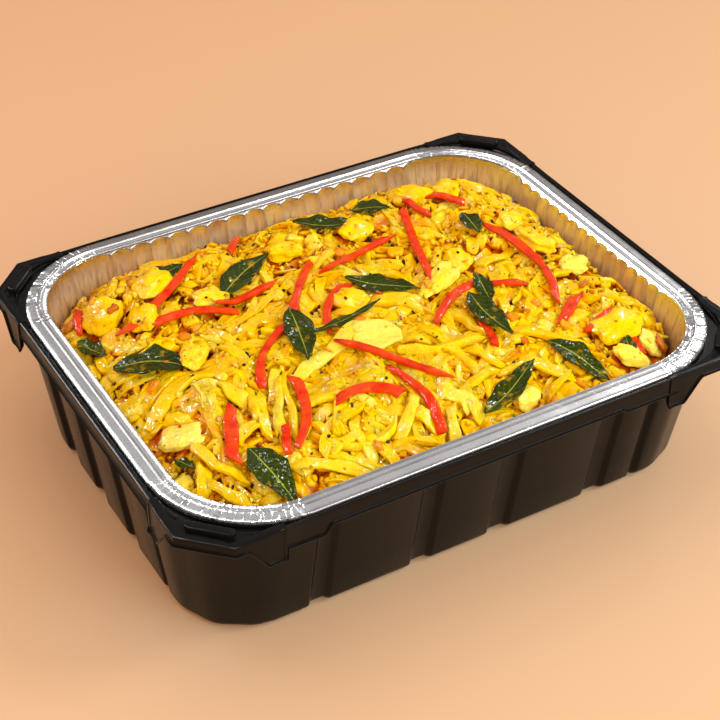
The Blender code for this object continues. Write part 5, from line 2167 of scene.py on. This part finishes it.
def add_light(name, place, size, radiance, tint, glossy, diffuse):
    """Area light aimed at the tray: a fill only softens shadows, a panel is only seen in reflections."""
    data = bpy.data.lights.new(name, "AREA")
    data.shape = "RECTANGLE"
    data.size, data.size_y = size
    data.energy = radiance * math.pi * size[0] * size[1]
    data.color = tint
    light = bpy.data.objects.new(name, data)
    bpy.context.scene.collection.objects.link(light)
    light.location = place
    light.rotation_euler = (LIGHT_TARGET - Vector(place)).to_track_quat("-Z", "Y").to_euler()
    light.visible_glossy = glossy
    light.visible_diffuse = diffuse


def add_floor(shade):
    """Plain matt floor, which stays where it is when the tray is turned."""
    bm = bmesh.new()
    bmesh.ops.create_grid(bm, x_segments=1, y_segments=1, size=FLOOR_SIZE)
    floor = bpy.data.objects.new("floor", mesh_from(bm, "floor"))
    bpy.context.scene.collection.objects.link(floor)
    material, nodes, place = new_material("Plain Floor", 0.75)
    tint = nodes.mix(nodes.noise(place, 3.0, 2.0), shade, shade * 0.97)
    nodes.set("Base Color", tint)
    floor.data.materials.append(material)


def add_world():
    """Light from all round on matt surfaces, over a darker room in reflections."""
    world = bpy.data.worlds.new("Studio")
    world.use_nodes = True
    nodes = Nodes(world.node_tree)
    reflected = nodes.add("ShaderNodeLightPath").outputs["Is Glossy Ray"]
    background = world.node_tree.nodes["Background"]
    nodes.link(nodes.mix(reflected, AMBIENT, DARK_ROOM), background.inputs["Color"])
    bpy.context.scene.world = world


def add_camera(settings):
    """Camera that looks at the tray from its direction, turned a little about its view."""
    level = math.cos(settings.elevation)
    ahead = (math.sin(settings.azimuth) * level, -math.cos(settings.azimuth) * level)
    back = Vector((*ahead, math.sin(settings.elevation)))
    right = (-back).cross(Vector((0.0, 0.0, 1.0))).normalized()
    up = right.cross(-back)
    cos_roll, sin_roll = math.cos(settings.roll), math.sin(settings.roll)
    data = bpy.data.cameras.new("camera")
    data.lens = settings.lens
    data.sensor_width = 36.0
    data.clip_start = 0.01
    camera = bpy.data.objects.new("camera", data)
    bpy.context.scene.collection.objects.link(camera)
    axes = Matrix((right * cos_roll + up * sin_roll, up * cos_roll - right * sin_roll, back)).transposed()
    camera.matrix_world = Matrix.Translation(CAMERA_TARGET + back * settings.distance) @ axes.to_4x4()
    bpy.context.scene.camera = camera


class CABBAGE_OT_stage(bpy.types.Operator):
    """Adds the plain floor, the soft studio lights and the camera"""

    bl_idname = "cabbage_tray.stage"
    bl_label = "Stage"

    def execute(self, context):
        settings = context.scene.tray_stage
        add_floor(settings.floor)
        add_world()
        for row in LIGHTS:
            add_light(*row)
        add_camera(settings)
        context.scene.view_settings.view_transform = "Standard"
        return {"FINISHED"}


# -------- panel and registration


class CABBAGE_PT_tray(bpy.types.Panel):
    """Lists the pieces of the tray and their settings"""

    bl_label = "Turmeric Cabbage Tray"
    bl_space_type = "VIEW_3D"
    bl_region_type = "UI"
    bl_category = "Cabbage Tray"

    def draw(self, context):
        for operator in OPERATORS:
            self.layout.operator(operator.bl_idname)
        for group in SETTINGS:
            box = self.layout.box()
            for name in SETTINGS[group].__annotations__:
                box.prop(getattr(context.scene, group), name)


SETTINGS = {
    "tray_carrier": CarrierSettings,
    "tray_foil": FoilSettings,
    "tray_cabbage": CabbageSettings,
    "tray_toppings": ToppingSettings,
    "tray_stage": StageSettings,
}
OPERATORS = (
    CABBAGE_OT_carrier,
    CABBAGE_OT_foil,
    CABBAGE_OT_cabbage,
    CABBAGE_OT_bits,
    CABBAGE_OT_peppers,
    CABBAGE_OT_leaves,
    CABBAGE_OT_stage,
)


def register():
    for group in (*SETTINGS.values(), *OPERATORS, CABBAGE_PT_tray):
        bpy.utils.register_class(group)
    for name, group in SETTINGS.items():
        setattr(bpy.types.Scene, name, bpy.props.PointerProperty(type=group))


def unregister():
    for name in SETTINGS:
        delattr(bpy.types.Scene, name)
    for group in (CABBAGE_PT_tray, *OPERATORS, *reversed(SETTINGS.values())):
        bpy.utils.unregister_class(group)


def main():
    register()
    bpy.ops.cabbage_tray.carrier()
    bpy.ops.cabbage_tray.foil()
    bpy.ops.cabbage_tray.cabbage()
    bpy.ops.cabbage_tray.bits()
    bpy.ops.cabbage_tray.peppers()
    bpy.ops.cabbage_tray.leaves()
    bpy.ops.cabbage_tray.stage()


if __name__ == "__main__":
    main()
